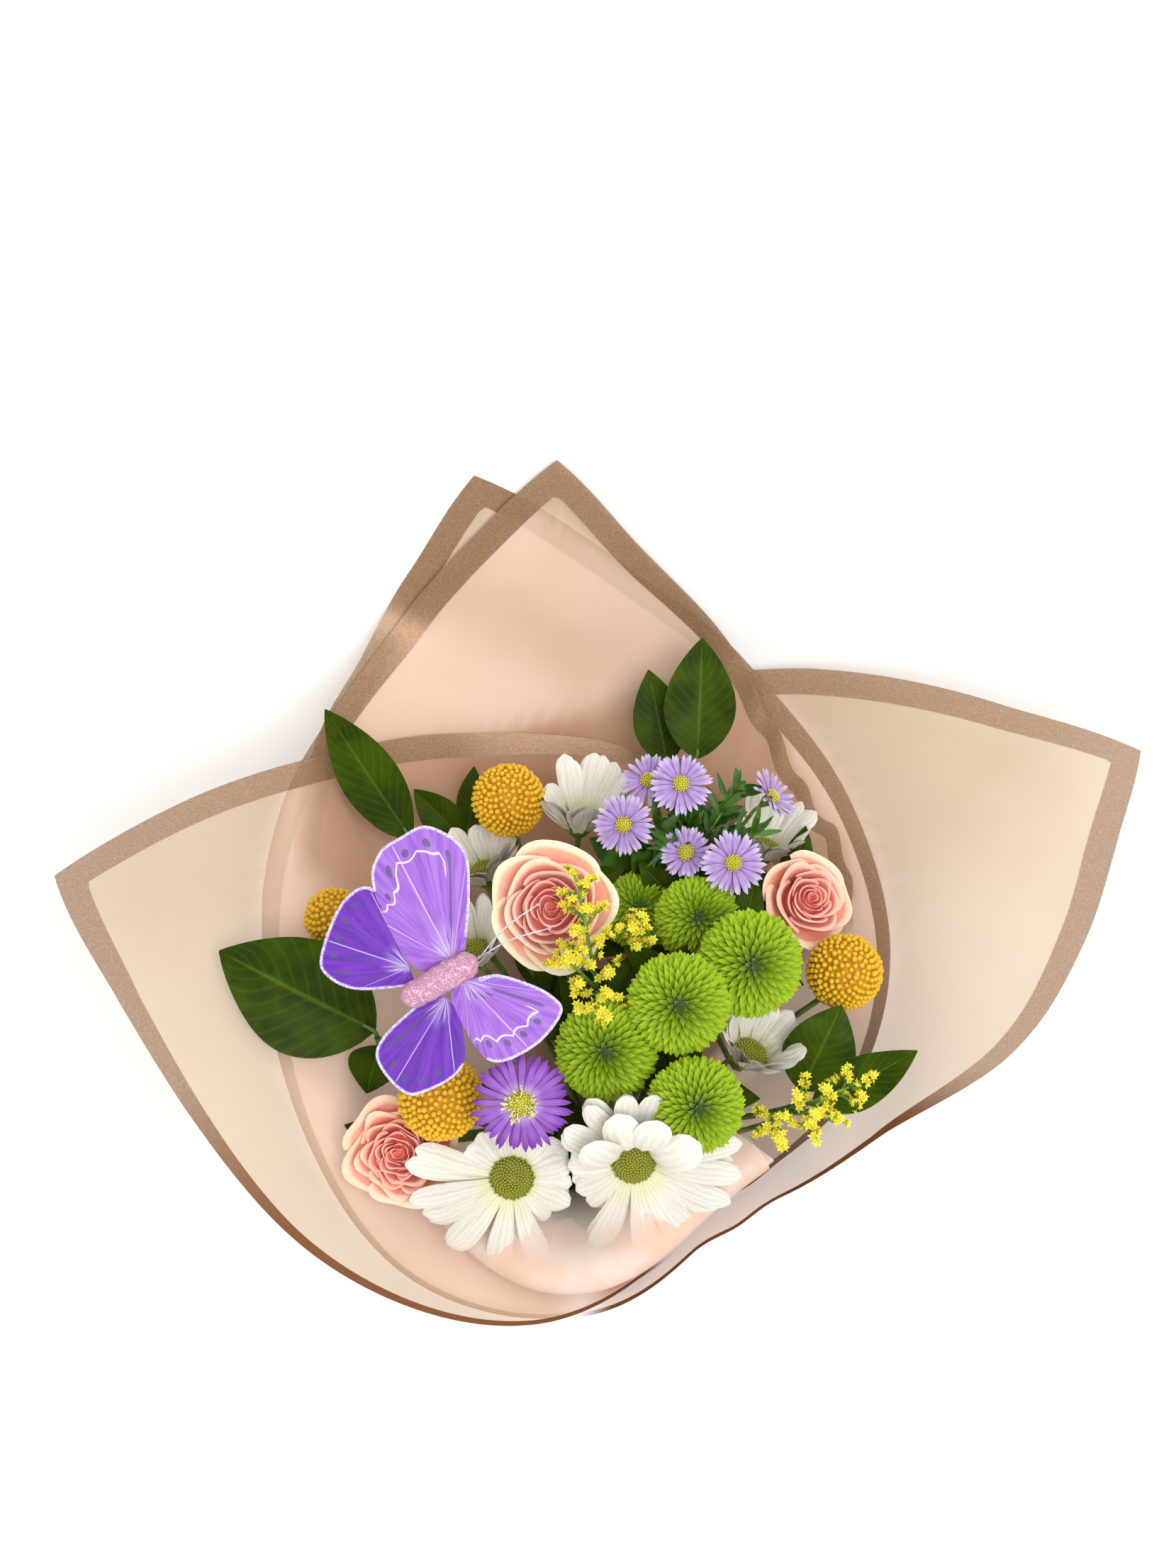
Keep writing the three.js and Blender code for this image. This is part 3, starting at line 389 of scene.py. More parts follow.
class Effects:
    """Shader node groups that several finishes share."""

    made: dict[str, bpy.types.NodeTree] = {}

    @classmethod
    def get(cls, name: str) -> bpy.types.NodeTree:
        """Returns the named effect, building it once."""
        if name not in cls.made:
            cls.made[name] = getattr(cls, "make_" + name)()
        return cls.made[name]

    @staticmethod
    def start(name: str, inputs: dict[str, str], outputs: dict[str, str]) -> tuple[Tree, tuple[Socket, ...]]:
        """Starts a group.

        Args:
            name: its name.
            inputs: kind of each input socket, "Color" or "Float", by name.
            outputs: kind of each output socket, likewise.

        Returns:
            The tree, and what its inputs give.
        """
        tree = bpy.data.node_groups.new(name, "ShaderNodeTree")
        for way, sockets in (("INPUT", inputs), ("OUTPUT", outputs)):
            for label, kind in sockets.items():
                tree.interface.new_socket(label, in_out=way, socket_type="NodeSocket" + kind)
        return Tree(tree), tuple(tree.nodes.new("NodeGroupInput").outputs)[: len(inputs)]

    @staticmethod
    def end(tree: Tree, *results: Socket) -> bpy.types.NodeTree:
        """Links the results to the group's outputs, in order, and returns the group."""
        out = tree.tree.nodes.new("NodeGroupOutput")
        for i, result in enumerate(results):
            tree.tree.links.new(result, out.inputs[i])
        return tree.tree

    @classmethod
    def make_petal_grain(cls) -> bpy.types.NodeTree:
        """Colour from a petal's root to its tip, with fine veins along it and a tone of its own."""
        inputs = {"Root": "Color", "Middle": "Color", "Tip": "Color", "Veins": "Float", "Depth": "Float"}
        tree, given = cls.start("Petal grain", inputs, {"Color": "Color", "Height": "Float"})
        root, middle, tip, spread, depth = given
        across, along = tree.surface()
        tone, _, _ = tree.marks()
        drift = tree.times(tree.noise(260.0, 2.0), 0.25)
        veins = tree.maths("POWER", tree.ripple(tree.times(tree.plus(across, drift), spread)), 3.0)
        colour = tree.mix(tree.between(along, 0.0, 0.38), root, middle)
        colour = tree.mix(tree.between(along, 0.55, 1.0), colour, tip)
        shade = tree.plus(tree.times(veins, depth), tree.times(tone, 0.14))
        light = tree.minus(1.04, shade)
        grey = tree.add("CombineColor", {0: light, 1: light, 2: light}).outputs[0]
        return cls.end(tree, tree.mix(1.0, colour, grey, "MULTIPLY"), tree.minus(1.0, veins))

    @classmethod
    def make_mottle(cls) -> bpy.types.NodeTree:
        """Two colours in soft patches, with a fine grain for bumps."""
        inputs = {"Low": "Color", "High": "Color", "Scale": "Float"}
        tree, (low, high, scale) = cls.start("Mottle", inputs, {"Color": "Color", "Height": "Float"})
        patches = tree.between(tree.noise(scale, 4.0), 0.34, 0.66)
        return cls.end(tree, tree.mix(patches, low, high), tree.noise(tree.times(scale, 9.0), 2.0))

    @classmethod
    def make_sparkle(cls) -> bpy.types.NodeTree:
        """Glitter flakes: a random value per flake and a mask of the bright ones."""
        outputs = {"Flake": "Float", "Mask": "Float"}
        tree, (scale, share) = cls.start("Sparkle", {"Scale": "Float", "Share": "Float"}, outputs)
        place = tree.add("TexCoord").outputs["Object"]
        flakes = tree.add("TexVoronoi", {"Vector": place, "Scale": scale})
        value = tree.add("SeparateColor", {0: flakes.outputs["Color"]}).outputs[0]
        return cls.end(tree, value, tree.maths("GREATER_THAN", value, tree.minus(1.0, share)))


# Finishes

FILM_IOR = 1.46


@dataclass(frozen=True)
class FilmFinish:
    """Matt translucent film with a printed glitter border along its edges."""

    lone: str = "cdb08a"
    double: str = "f8dac4"
    stacked: str = "d2a380"
    border: str = "a98463"
    border_dark: str = "93704f"
    glint: str = "dcc2a2"
    # painted shade: the dark brown that the border takes where it curls away
    curl_shade: str = "7e4f2a"
    border_width: float = 11.4
    clear: float = 0.36

    def make(self) -> Paint:
        """Returns the material.

        Marks: distance to the edge in decimetres, layers over each other, distance to the side cuts. The
        second surface coordinate tells how far the border curls away; there it turns dark with painted shade.
        """
        mat = Material("Film", IOR=FILM_IOR)
        edge, stacked, side = mat.marks()
        _, curl = mat.surface()
        width = self.border_width / 100
        border = mat.between(edge, width - 0.003, width + 0.003, 1.0, 0.0)
        patch, _ = mat.effect("mottle", Low="ffffff", High="f4ece6", Scale=9.0)
        film = mat.mix(mat.between(stacked, 0.0, 0.34), self.lone, self.double)
        film = mat.mix(mat.between(stacked, 0.34, 0.8), film, self.stacked)
        film = mat.mix(1.0, film, patch, "MULTIPLY")
        flake, bright = mat.effect("sparkle", Scale=2600.0, Share=0.2)
        glitter = mat.mix(flake, self.border_dark, self.border)
        glitter = mat.mix(mat.times(bright, 0.1), glitter, self.glint)
        # painted shade: the border turns dark brown where it curls away
        glitter = mat.mix(curl, glitter, self.curl_shade)
        cover = mat.times(mat.times(border, mat.plus(0.62, mat.times(curl, 0.38))), self.clear)
        return mat.feed(
            Base_Color=mat.mix(border, film, glitter),
            Alpha=mat.times(mat.plus(1 - self.clear, cover), side),
            Roughness=mat.minus(0.46, mat.times(border, 0.12)),
            Metallic=mat.times(border, mat.between(curl, 0.0, 1.0, 0.25, 0.0)),
            Normal=mat.bump(mat.times(flake, border), 0.0001, 0.5),
        )


@dataclass(frozen=True)
class FrostFinish:
    """Frosted liner film that veils what lies under it."""

    name: str = "Frosted film"
    colour: str = "efcfbc"
    thick: float = 0.72
    thin: float = 0.1
    fade: float = 0.8
    pale: str = "f7e4d8"

    def make(self) -> Paint:
        """Returns the material. The second surface coordinate runs from the tie to the free edge."""
        mat = Material(self.name, IOR=FILM_IOR, Roughness=0.55)
        _, along = mat.surface()
        patch, grain = mat.effect("mottle", Low=self.colour, High=self.pale, Scale=40.0)
        alpha = mat.between(along, self.fade, 1.0, self.thick, self.thin)
        return mat.feed(Base_Color=patch, Alpha=alpha, Normal=mat.bump(grain, 0.00005))


@dataclass(frozen=True)
class RibbonFinish:
    """Satin ribbon with a fine weave across it."""

    colour: str = "b98c6c"
    shade: str = "a97c5d"
    weave: float = 900.0
    threads: float = 180.0

    def make(self) -> Paint:
        """Returns the material."""
        mat = Material("Satin ribbon", Sheen_Weight=0.4, Roughness=0.38)
        across, along = mat.surface()
        weave = mat.maths("SINE", mat.times(across, self.weave))
        thread = mat.maths("SINE", mat.times(along, self.threads))
        patch, _ = mat.effect("mottle", Low=self.shade, High=self.colour, Scale=90.0)
        return mat.feed(Base_Color=patch, Normal=mat.bump(mat.plus(weave, thread), 0.00006, 0.6))


@dataclass(frozen=True)
class PetalFinish:
    """Soft petal that changes from root to tip, with fine veins."""

    name: str
    root: str
    middle: str
    tip: str
    veins: float = 18.0
    depth: float = 0.08
    rough: float = 0.5
    sheen: float = 0.15

    def make(self) -> Paint:
        """Returns the material. The first mark is the petal's own tone."""
        mat = Material(self.name, Roughness=self.rough, Sheen_Weight=self.sheen, Specular_IOR_Level=0.25)
        colour, grain = mat.effect(
            "petal_grain", Root=self.root, Middle=self.middle, Tip=self.tip, Veins=self.veins, Depth=self.depth)
        return mat.feed(Base_Color=colour, Normal=mat.bump(grain, 0.00012, 0.7))


@dataclass(frozen=True)
class RoseFinish:
    """Rose petals: deeper in the heart, partly their own colour and partly painted shade in the wells, paler and
    creamier towards the outside and the lips.
    """

    name: str
    heart: str
    body: str
    lip: str
    outer: str
    outer_lip: str
    veins: float = 30.0
    depth: float = 0.05

    def make(self) -> Paint:
        """Returns the material. The second mark runs from the heart to the outermost petal."""
        mat = Material(self.name, Roughness=0.48, Sheen_Weight=0.25)
        _, share, _ = mat.marks()
        _, along = mat.surface()
        outside = mat.between(share, 0.4, 1.0)
        wall = mat.mix(outside, self.body, self.outer)
        lip = mat.mix(outside, self.lip, self.outer_lip)
        tip = mat.mix(mat.between(along, 0.66, 0.84), wall, lip)
        # the heart colour at the petal roots is partly the rose's own colour and partly painted shade in the wells
        # between the petals
        colour, grain = mat.effect(
            "petal_grain", Root=self.heart, Middle=wall, Tip=tip, Veins=self.veins, Depth=self.depth)
        return mat.feed(Base_Color=colour, Normal=mat.bump(grain, 0.00008, 0.6))


@dataclass(frozen=True)
class PlantFinish:
    """Mottled plant surface, such as a stem, a disc or a knobby ball."""

    name: str
    low: str
    high: str
    scale: float = 220.0
    rough: float = 0.55
    top: str = ""

    def make(self) -> Paint:
        """Returns the material. Where `top` is set, the second coordinate turns the colour to it."""
        mat = Material(self.name, Roughness=self.rough)
        colour, grain = mat.effect("mottle", Low=self.low, High=self.high, Scale=self.scale)
        if self.top:
            _, along = mat.surface()
            colour = mat.mix(mat.between(along, 0.05, 0.75), colour, self.top)
        return mat.feed(Base_Color=colour, Normal=mat.bump(grain, 0.00015, 0.8))


@dataclass(frozen=True)
class LeafFinish:
    """Waxy leaf with a pale midrib and side veins that arch towards its tip."""

    low: str = "273600"
    high: str = "3a4e00"
    rib: str = "56821c"
    side_veins: float = 34.0
    arch: float = 9.0

    def make(self) -> Paint:
        """Returns the material."""
        mat = Material("Leaf", Coat_Weight=0.02, Coat_Roughness=0.25, Roughness=0.5, Specular_IOR_Level=0.06)
        across, along = mat.surface()
        aside = mat.maths("ABSOLUTE", mat.minus(mat.times(across, 2.0), 1.0))
        colour, _ = mat.effect("mottle", Low=self.low, High=self.high, Scale=70.0)
        lines = mat.minus(mat.times(along, self.side_veins), mat.times(aside, self.arch))
        veins = mat.maths("POWER", mat.ripple(lines), 14.0)
        rib = mat.between(aside, 0.0, 0.07, 1.0, 0.0)
        colour = mat.mix(mat.times(veins, 0.12), colour, self.rib)
        colour = mat.mix(mat.times(rib, 0.4), colour, self.rib)
        return mat.feed(Base_Color=colour, Normal=mat.bump(mat.plus(mat.times(veins, -0.5), rib), 0.0002, 0.5))


@dataclass(frozen=True)
class WingFinish:
    """Painted feather wing: violet with white veins, a scalloped line, dots and a glitter edge."""

    light: str = "a06ccc"
    light_streak: str = "8448be"
    deep: str = "6c14b2"
    deep_streak: str = "470b90"
    white: str = "efe8fa"
    dot: str = "4b4470"
    rim_low: str = "a78fd0"
    rim_high: str = "f3ecfb"
    scallops: float = 41.0
    dots: float = 13.05

    def make(self) -> Paint:
        """Returns the material. Marks: deep wing or light, distance to the edge, share from the root."""
        mat = Material("Wing", Roughness=0.55, Sheen_Weight=0.2)
        around, out = mat.surface()
        deep, edge, _ = mat.marks()
        fan = mat.add("CombineXYZ", {0: mat.times(around, 26.0), 1: out}).outputs[0]
        streak = mat.add("TexNoise", {"Vector": fan, "Scale": 2.0, "Detail": 4.0}).outputs["Fac"]
        base = mat.mix(deep, self.light, self.deep)
        dark = mat.mix(deep, self.light_streak, self.deep_streak)
        colour = mat.mix(mat.between(streak, 0.35, 0.7), base, dark)
        fold = mat.ripple(mat.times(around, 12.0))
        crease = mat.between(mat.times(fold, out), 0.0, 0.04, 0.6, 0.0)
        feather = mat.times(mat.between(streak, 0.46, 0.6), mat.between(out, 0.06, 0.36, 1.0, 0.0))
        inner = mat.times(crease, mat.between(edge, 0.04, 0.12))
        window = mat.times(mat.between(around, 0.3, 0.36), mat.between(around, 0.7, 0.78, 1.0, 0.0))
        scallop = mat.plus(0.36, mat.times(mat.ripple(mat.times(around, self.scallops)), 0.08))
        off = mat.maths("ABSOLUTE", mat.minus(edge, scallop))
        shown = mat.times(window, mat.minus(mat.between(out, 0.62, 0.7), deep))
        drawn = mat.times(mat.between(off, 0.012, 0.024, 0.85, 0.0), shown)
        white = mat.maths("MAXIMUM", drawn, mat.maths("MAXIMUM", inner, feather))
        cell = mat.maths("FRACT", mat.times(around, self.dots))
        dot_x = mat.times(mat.minus(cell, 0.5), 0.42)
        dot_y = mat.minus(edge, mat.between(deep, 0.0, 1.0, 0.29, 0.23))
        squares = mat.plus(mat.maths("POWER", dot_x, 2.0), mat.maths("POWER", dot_y, 2.0))
        dot = mat.times(mat.between(mat.maths("SQRT", squares), 0.06, 0.08, 0.8, 0.0), window)
        colour = mat.mix(mat.times(white, 0.85), colour, self.white)
        colour = mat.mix(dot, colour, self.dot)
        flake, _ = mat.effect("sparkle", Scale=2200.0, Share=0.45)
        rim = mat.between(edge, 0.035, 0.065, 0.9, 0.0)
        colour = mat.mix(rim, colour, mat.mix(flake, self.rim_low, self.rim_high))
        height = mat.plus(mat.times(rim, flake), streak)
        return mat.feed(Base_Color=colour, Normal=mat.bump(height, 0.0002, 0.6))


@dataclass(frozen=True)
class GlitterFinish:
    """Packed glitter on the butterfly's body."""

    low: str = "b67a98"
    high: str = "d79dbb"
    glint: str = "f4dfe8"

    def make(self) -> Paint:
        """Returns the material."""
        mat = Material("Pink glitter", Metallic=0.1)
        flake, bright = mat.effect("sparkle", Scale=2300.0, Share=0.25)
        colour = mat.mix(mat.times(bright, 0.45), mat.mix(flake, self.low, self.high), self.glint)
        rough = mat.minus(0.6, mat.times(bright, 0.35))
        return mat.feed(Base_Color=colour, Roughness=rough, Normal=mat.bump(flake, 0.0004, 0.8))


@dataclass(frozen=True)
class WireFinish:
    """Painted wire with small glitter grains."""

    colour: str = "ece6f2"
    shade: str = "b9b2c4"

    def make(self) -> Paint:
        """Returns the material."""
        mat = Material("Wire", Metallic=0.3, Roughness=0.35)
        flake, _ = mat.effect("sparkle", Scale=1800.0, Share=0.3)
        return mat.feed(Base_Color=mat.mix(flake, self.shade, self.colour), Normal=mat.bump(flake, 0.0001, 0.5))


class Palette:
    """Every finish of the bouquet, each made once."""

    recipes = {
        "film": FilmFinish(),
        "frost": FrostFinish(),
        "veil": FrostFinish("Veil film", "f6d0b8", 0.76, 0.04, 0.6),
        "ribbon": RibbonFinish(),
        # the deep heart colours of both rose finishes are partly painted shade in the wells between the petals
        "rose": RoseFinish("Rose petal", "f28a7c", "ffa292", "ffc0b0", "ffbda4", "fff2cc"),
        "rose_pink": RoseFinish("Rose petal pink", "f07c68", "ff9a86", "ffb4a0", "ffab94", "ffd8b8"),
        "daisy": PetalFinish("Daisy petal", "d6d6aa", "dedacd", "e8e4da", 14.0, 0.1),
        "button": PetalFinish("Button petal", "355404", "7d9f04", "a4c414", 9.0, 0.08),
        "aster": PetalFinish("Aster petal", "a682ca", "ba9ad9", "dccaf0", 9.0, 0.2),
        "violet": PetalFinish("Violet petal", "cdacea", "9a5fc4", "7c34ac", 9.0, 0.2),
        # knobby ball: the darker low and high colours on its core and knob feet are painted shade in the gaps, the
        # bright top colour painted light on the knob tops
        "ball": PlantFinish("Knobby ball", "a8740a", "c98f0c", 300.0, 0.7, "e4b61e"),
        "disc": PlantFinish("Daisy disc", "5c6412", "7b7f1e", 500.0, 0.6, "9a9a2c"),
        "aster_disc": PlantFinish("Aster disc", "a9a21a", "cdc22c", 700.0, 0.6, "ded84a"),
        "sprig": PlantFinish("Solidago floret", "c9b60a", "e6d51c", 600.0, 0.6, "f2e640"),
        "stamen": PlantFinish("Stamen", "d9d684", "ebe8a4", 600.0, 0.6),
        "stem": PlantFinish("Stem", "4b6e28", "6a8f3a", 160.0, 0.5),
        "calyx": PlantFinish("Calyx", "4d7a1e", "74a034", 200.0, 0.5),
        "herb": PlantFinish("Narrow leaf", "264a08", "416f14", 160.0, 0.5),
        "leaf": LeafFinish(),
        "wing": WingFinish(),
        "glitter": GlitterFinish(),
        "wire": WireFinish(),
    }
    made: dict[str, Paint] = {}

    @classmethod
    def get(cls, *names: str) -> list[Paint]:
        """Returns the named materials, building each once."""
        for name in names:
            if name not in cls.made:
                cls.made[name] = cls.recipes[name].make()
        return [cls.made[name] for name in names]


# Form helpers


def circle(count: int) -> Array:
    """Returns directions evenly spread round a circle, in radians."""
    return np.arange(count) * FULL_TURN / count


def spokes(side: Array, other: Array, count: int) -> Array:
    """Returns rings of directions, (rings, count, 3), in the planes of the two given ones."""
    turn = circle(count)[None, :, None]
    return side[:, None] * np.cos(turn) + other[:, None] * np.sin(turn)


def steps(rows: int, columns: int) -> tuple[Array, Array]:
    """Returns a grid's shares along, from 0 to 1, and across, from -1 to 1."""
    return np.linspace(0, 1, rows)[:, None], np.linspace(-1, 1, columns)[None, :]


def each(values: Values, count: int) -> Array:
    """Returns one value for each of `count` grids, of a shape that fits them."""
    return np.full(count, values, float)[:, None, None]


def tube(path: list[Array], radii: list[float], sides: int = 8, rounds: int = 2) -> Array:
    """Returns a round bar's grid along a path whose corners are cut smooth.

    Args:
        path: points of the middle line.
        radii: radius at each point.
        sides: points of each ring.
        rounds: how often the corners are cut.

    Returns:
        An array of (rings, sides, 3), with its ends drawn in to close them.
    """
    line = np.concatenate([vec(path), vec(radii)[:, None]], 1)
    for _ in range(rounds):
        near = line[:-1] * 0.75 + line[1:] * 0.25
        far = line[:-1] * 0.25 + line[1:] * 0.75
        line = np.concatenate([line[:1], np.stack([near, far], 1).reshape(-1, 4)[1:-1], line[-1:]])
    middle, radius = line[:, :3], line[:, 3]
    way = unit(np.gradient(middle, axis=0))
    across = unit(np.cross(triple(1, 0.2, 0), way))
    rays = spokes(across, np.cross(way, across), sides)
    rings = middle[:, None] + rays * radius[:, None, None]
    ends = middle[[0, -1], None] + rays[[0, -1]] * CLOSED
    return np.concatenate([ends[:1], rings, ends[1:]])


def add_tube(
    shape: Shape, path: list[Array], radii: list[float], slot: int = 0, sides: int = 8, rounds: int = 2
) -> None:
    """Adds a round bar to a shape, as `tube` makes it."""
    grid = tube(path, radii, sides, rounds)
    rows = np.linspace(0, 1, len(grid))[:, None]
    shape.add(grid, np.arange(sides) / sides, rows, (0.3, 0.0, 0.0), slot, closed=True)


# Share of the radius and of the height at each ring of a knob.
KNOB_RINGS = ((0.8, 0.0), (1.0, 0.45), (0.72, 0.85), (CLOSED, 1.0))


def knobs(places: Array, out: Array, radius: Values, high: Values, sides: int = 5) -> Array:
    """Returns small domes that stand on a surface.

    Args:
        places: (count, 3) centres of their feet.
        out: (count, 3) directions in which they stand.
        radius: (count,) radius of each, or of all.
        high: (count,) height of each, or of all.
        sides: points of each ring.

    Returns:
        (count, 4, sides, 3) grids.
    """
    side = unit(np.cross(out, np.where(np.abs(out[:, 2:]) < 0.9, triple(0, 0, 1), triple(1, 0, 0))))
    rays = spokes(side, np.cross(out, side), sides)
    radius, high = each(radius, len(out)), each(high, len(out))
    rows = [places[:, None] + rays * (radius * share) + out[:, None] * (high * lift) for share, lift in KNOB_RINGS]
    return np.stack(rows, 1)


def add_knobs(shape: Shape, grids: Array, tone: Values, slot: int = 0) -> None:
    """Adds domes from `knobs`, whose second surface coordinate rises from foot to top."""
    rise = vec([lift for _, lift in KNOB_RINGS])[None, :, None]
    shape.add(grids, 0.0, rise, (tone, 0.0, 0.0), slot, closed=True)


@dataclass(frozen=True)
class PetalForm:
    """Form that the petals of one kind share.

    Attributes:
        outline: pairs of share of the length and share of the half width.
        cup: how far the sides rise, as a share of the half width.
        groove: height of two ribs along the petal, in millimetres.
        rows: points along each petal.
        columns: points across it.
    """

    outline: Pairs
    cup: float
    groove: float
    rows: int
    columns: int


RAY_OUTLINE = [(0, 0.5), (0.4, 0.9), (0.75, 1.0), (0.92, 0.75), (1, 0.12)]
DAISY_PETAL = PetalForm(
    [(0, 0.34), (0.2, 0.6), (0.45, 0.9), (0.66, 1.0), (0.82, 0.93), (0.92, 0.72), (0.975, 0.42), (1, 0.12)],
    -0.22, 0.3, 16, 13)
ASTER_RAY = PetalForm(RAY_OUTLINE, -0.25, 0.0, 8, 5)
FLORET_RAY = PetalForm(RAY_OUTLINE, 0.0, 0.0, 3, 3)
NARROW_LEAF = PetalForm([(0, 0.25), (0.25, 0.85), (0.5, 1), (0.8, 0.6), (1, 0.05)], 0.25, 0.0, 8, 5)
NEARLY_STRAIGHT = 1e-4  # keeps the division by a petal's bend possible


def blades(
    stand: Stand,
    form: PetalForm,
    turns: Array,
    start: Values,
    length: Values,
    width: Values,
    lift: Values,
    bend: Values,
    drop: Values = 0.0,
    twist: Values = 0.0,
) -> Array:
    """Returns petals that grow outwards round a stand's axis.

    Values are one for each petal, (count,), or one for all.

    Args:
        stand: place of the bloom.
        form: form of its petals.
        turns: (count,) direction of each petal round the axis.
        start: distance of the root from the axis.
        length: length of the petal.
        width: its width.
        lift: slope of the root above the bloom's plane, in radians.
        bend: how far the petal bends up by its tip, in radians.
        drop: height of the root.
        twist: turn of the petal about its own length by its tip, in radians.

    Returns:
        (count, rows, columns, 3) grids in the bouquet's axes.
    """
    t, u = steps(form.rows, form.columns)
    start, length, width, lift, bend, drop, twist, turn = (
        each(values, len(turns)) for values in (start, length, width, lift, bend, drop, twist, turns))
    half = np.interp(t, *vec(form.outline).T) * width / 2
    bend = bend + NEARLY_STRAIGHT
    slope = lift + bend * t
    run = length * (np.sin(slope) - np.sin(lift)) / bend
    rise = length * (np.cos(lift) - np.cos(slope)) / bend
    lean = twist * t
    ribs = form.groove * np.cos(u * 2.5 * math.pi) * np.sin(math.pi * np.clip(t * 1.1, 0, 1))
    off = form.cup * half * u**2 + ribs + half * u * np.sin(lean)
    out = start + run - np.sin(slope) * off
    aside = half * u * np.cos(lean)
    cos, sin = np.cos(turn), np.sin(turn)
    return stand.offset(out * cos - aside * sin, out * sin + aside * cos, drop + rise + np.cos(slope) * off)


def add_blades(
    shape: Shape, grids: Array, tone: Values, share: Values = 0.0, slot: int = 0
) -> None:
    """Adds petals from `blades` with their surface coordinates.

    Args:
        shape: where they go.
        grids: (count, rows, columns, 3).
        tone: (count,) each petal's own tone, or that of all.
        share: (count,) second mark of each, or of all.
        slot: index of the material.
    """
    count, rows, columns = grids.shape[:3]
    marks = (each(tone, count), each(share, count), 0.0)
    shape.add(grids, np.linspace(0, 1, columns), np.linspace(0, 1, rows)[:, None], marks, slot)


def disc_florets(stand: Stand, radius: float, high: float, density: float, size: float) -> Array:
    """Returns the tiny florets of a domed disc, in the spiral that they grow in.

    Args:
        stand: place of the disc.
        radius: its radius.
        high: its height.
        density: number of florets for each square millimetre of the radius.
        size: radius of a floret.
    """
    count = int(radius**2 * density)
    k = np.arange(count) + 0.5
    r = radius * np.sqrt(k / count)
    turn = k * GOLDEN_TURN
    z = high * (1 - (r / radius) ** 2) + 0.2 - 0.25 * high * np.exp(-((r / radius / 0.3) ** 2))
    x, y = r * np.cos(turn), r * np.sin(turn)
    out = np.stack([x * high / radius**1.3, y * high / radius**1.3, np.ones(count)], 1)
    return knobs(stand.offset(x, y, z), unit(out) @ stand.axes(), size, size * 1.5)


def add_dome(
    shape: Shape,
    stand: Stand,
    profile: Pairs,
    sides: int = 20,
    slot: int = 0,
    at: tuple[float, float] = (0.0, 0.0),
    marks: Triple = (0.2, 0.0, 0.0),
) -> None:
    """Adds a surface that is turned about a stand's axis.

    Args:
        shape: where it goes.
        stand: its place.
        profile: pairs of radius and height.
        sides: points of each ring.
        slot: index of the material.
        at: the surface coordinates of its points.
        marks: their marks.
    """
    turn = circle(sides)
    radius, height = vec(profile).T[:, :, None]
    shape.add(stand.offset(radius * np.cos(turn), radius * np.sin(turn), height), *at, marks, slot, closed=True)


# Film wrap


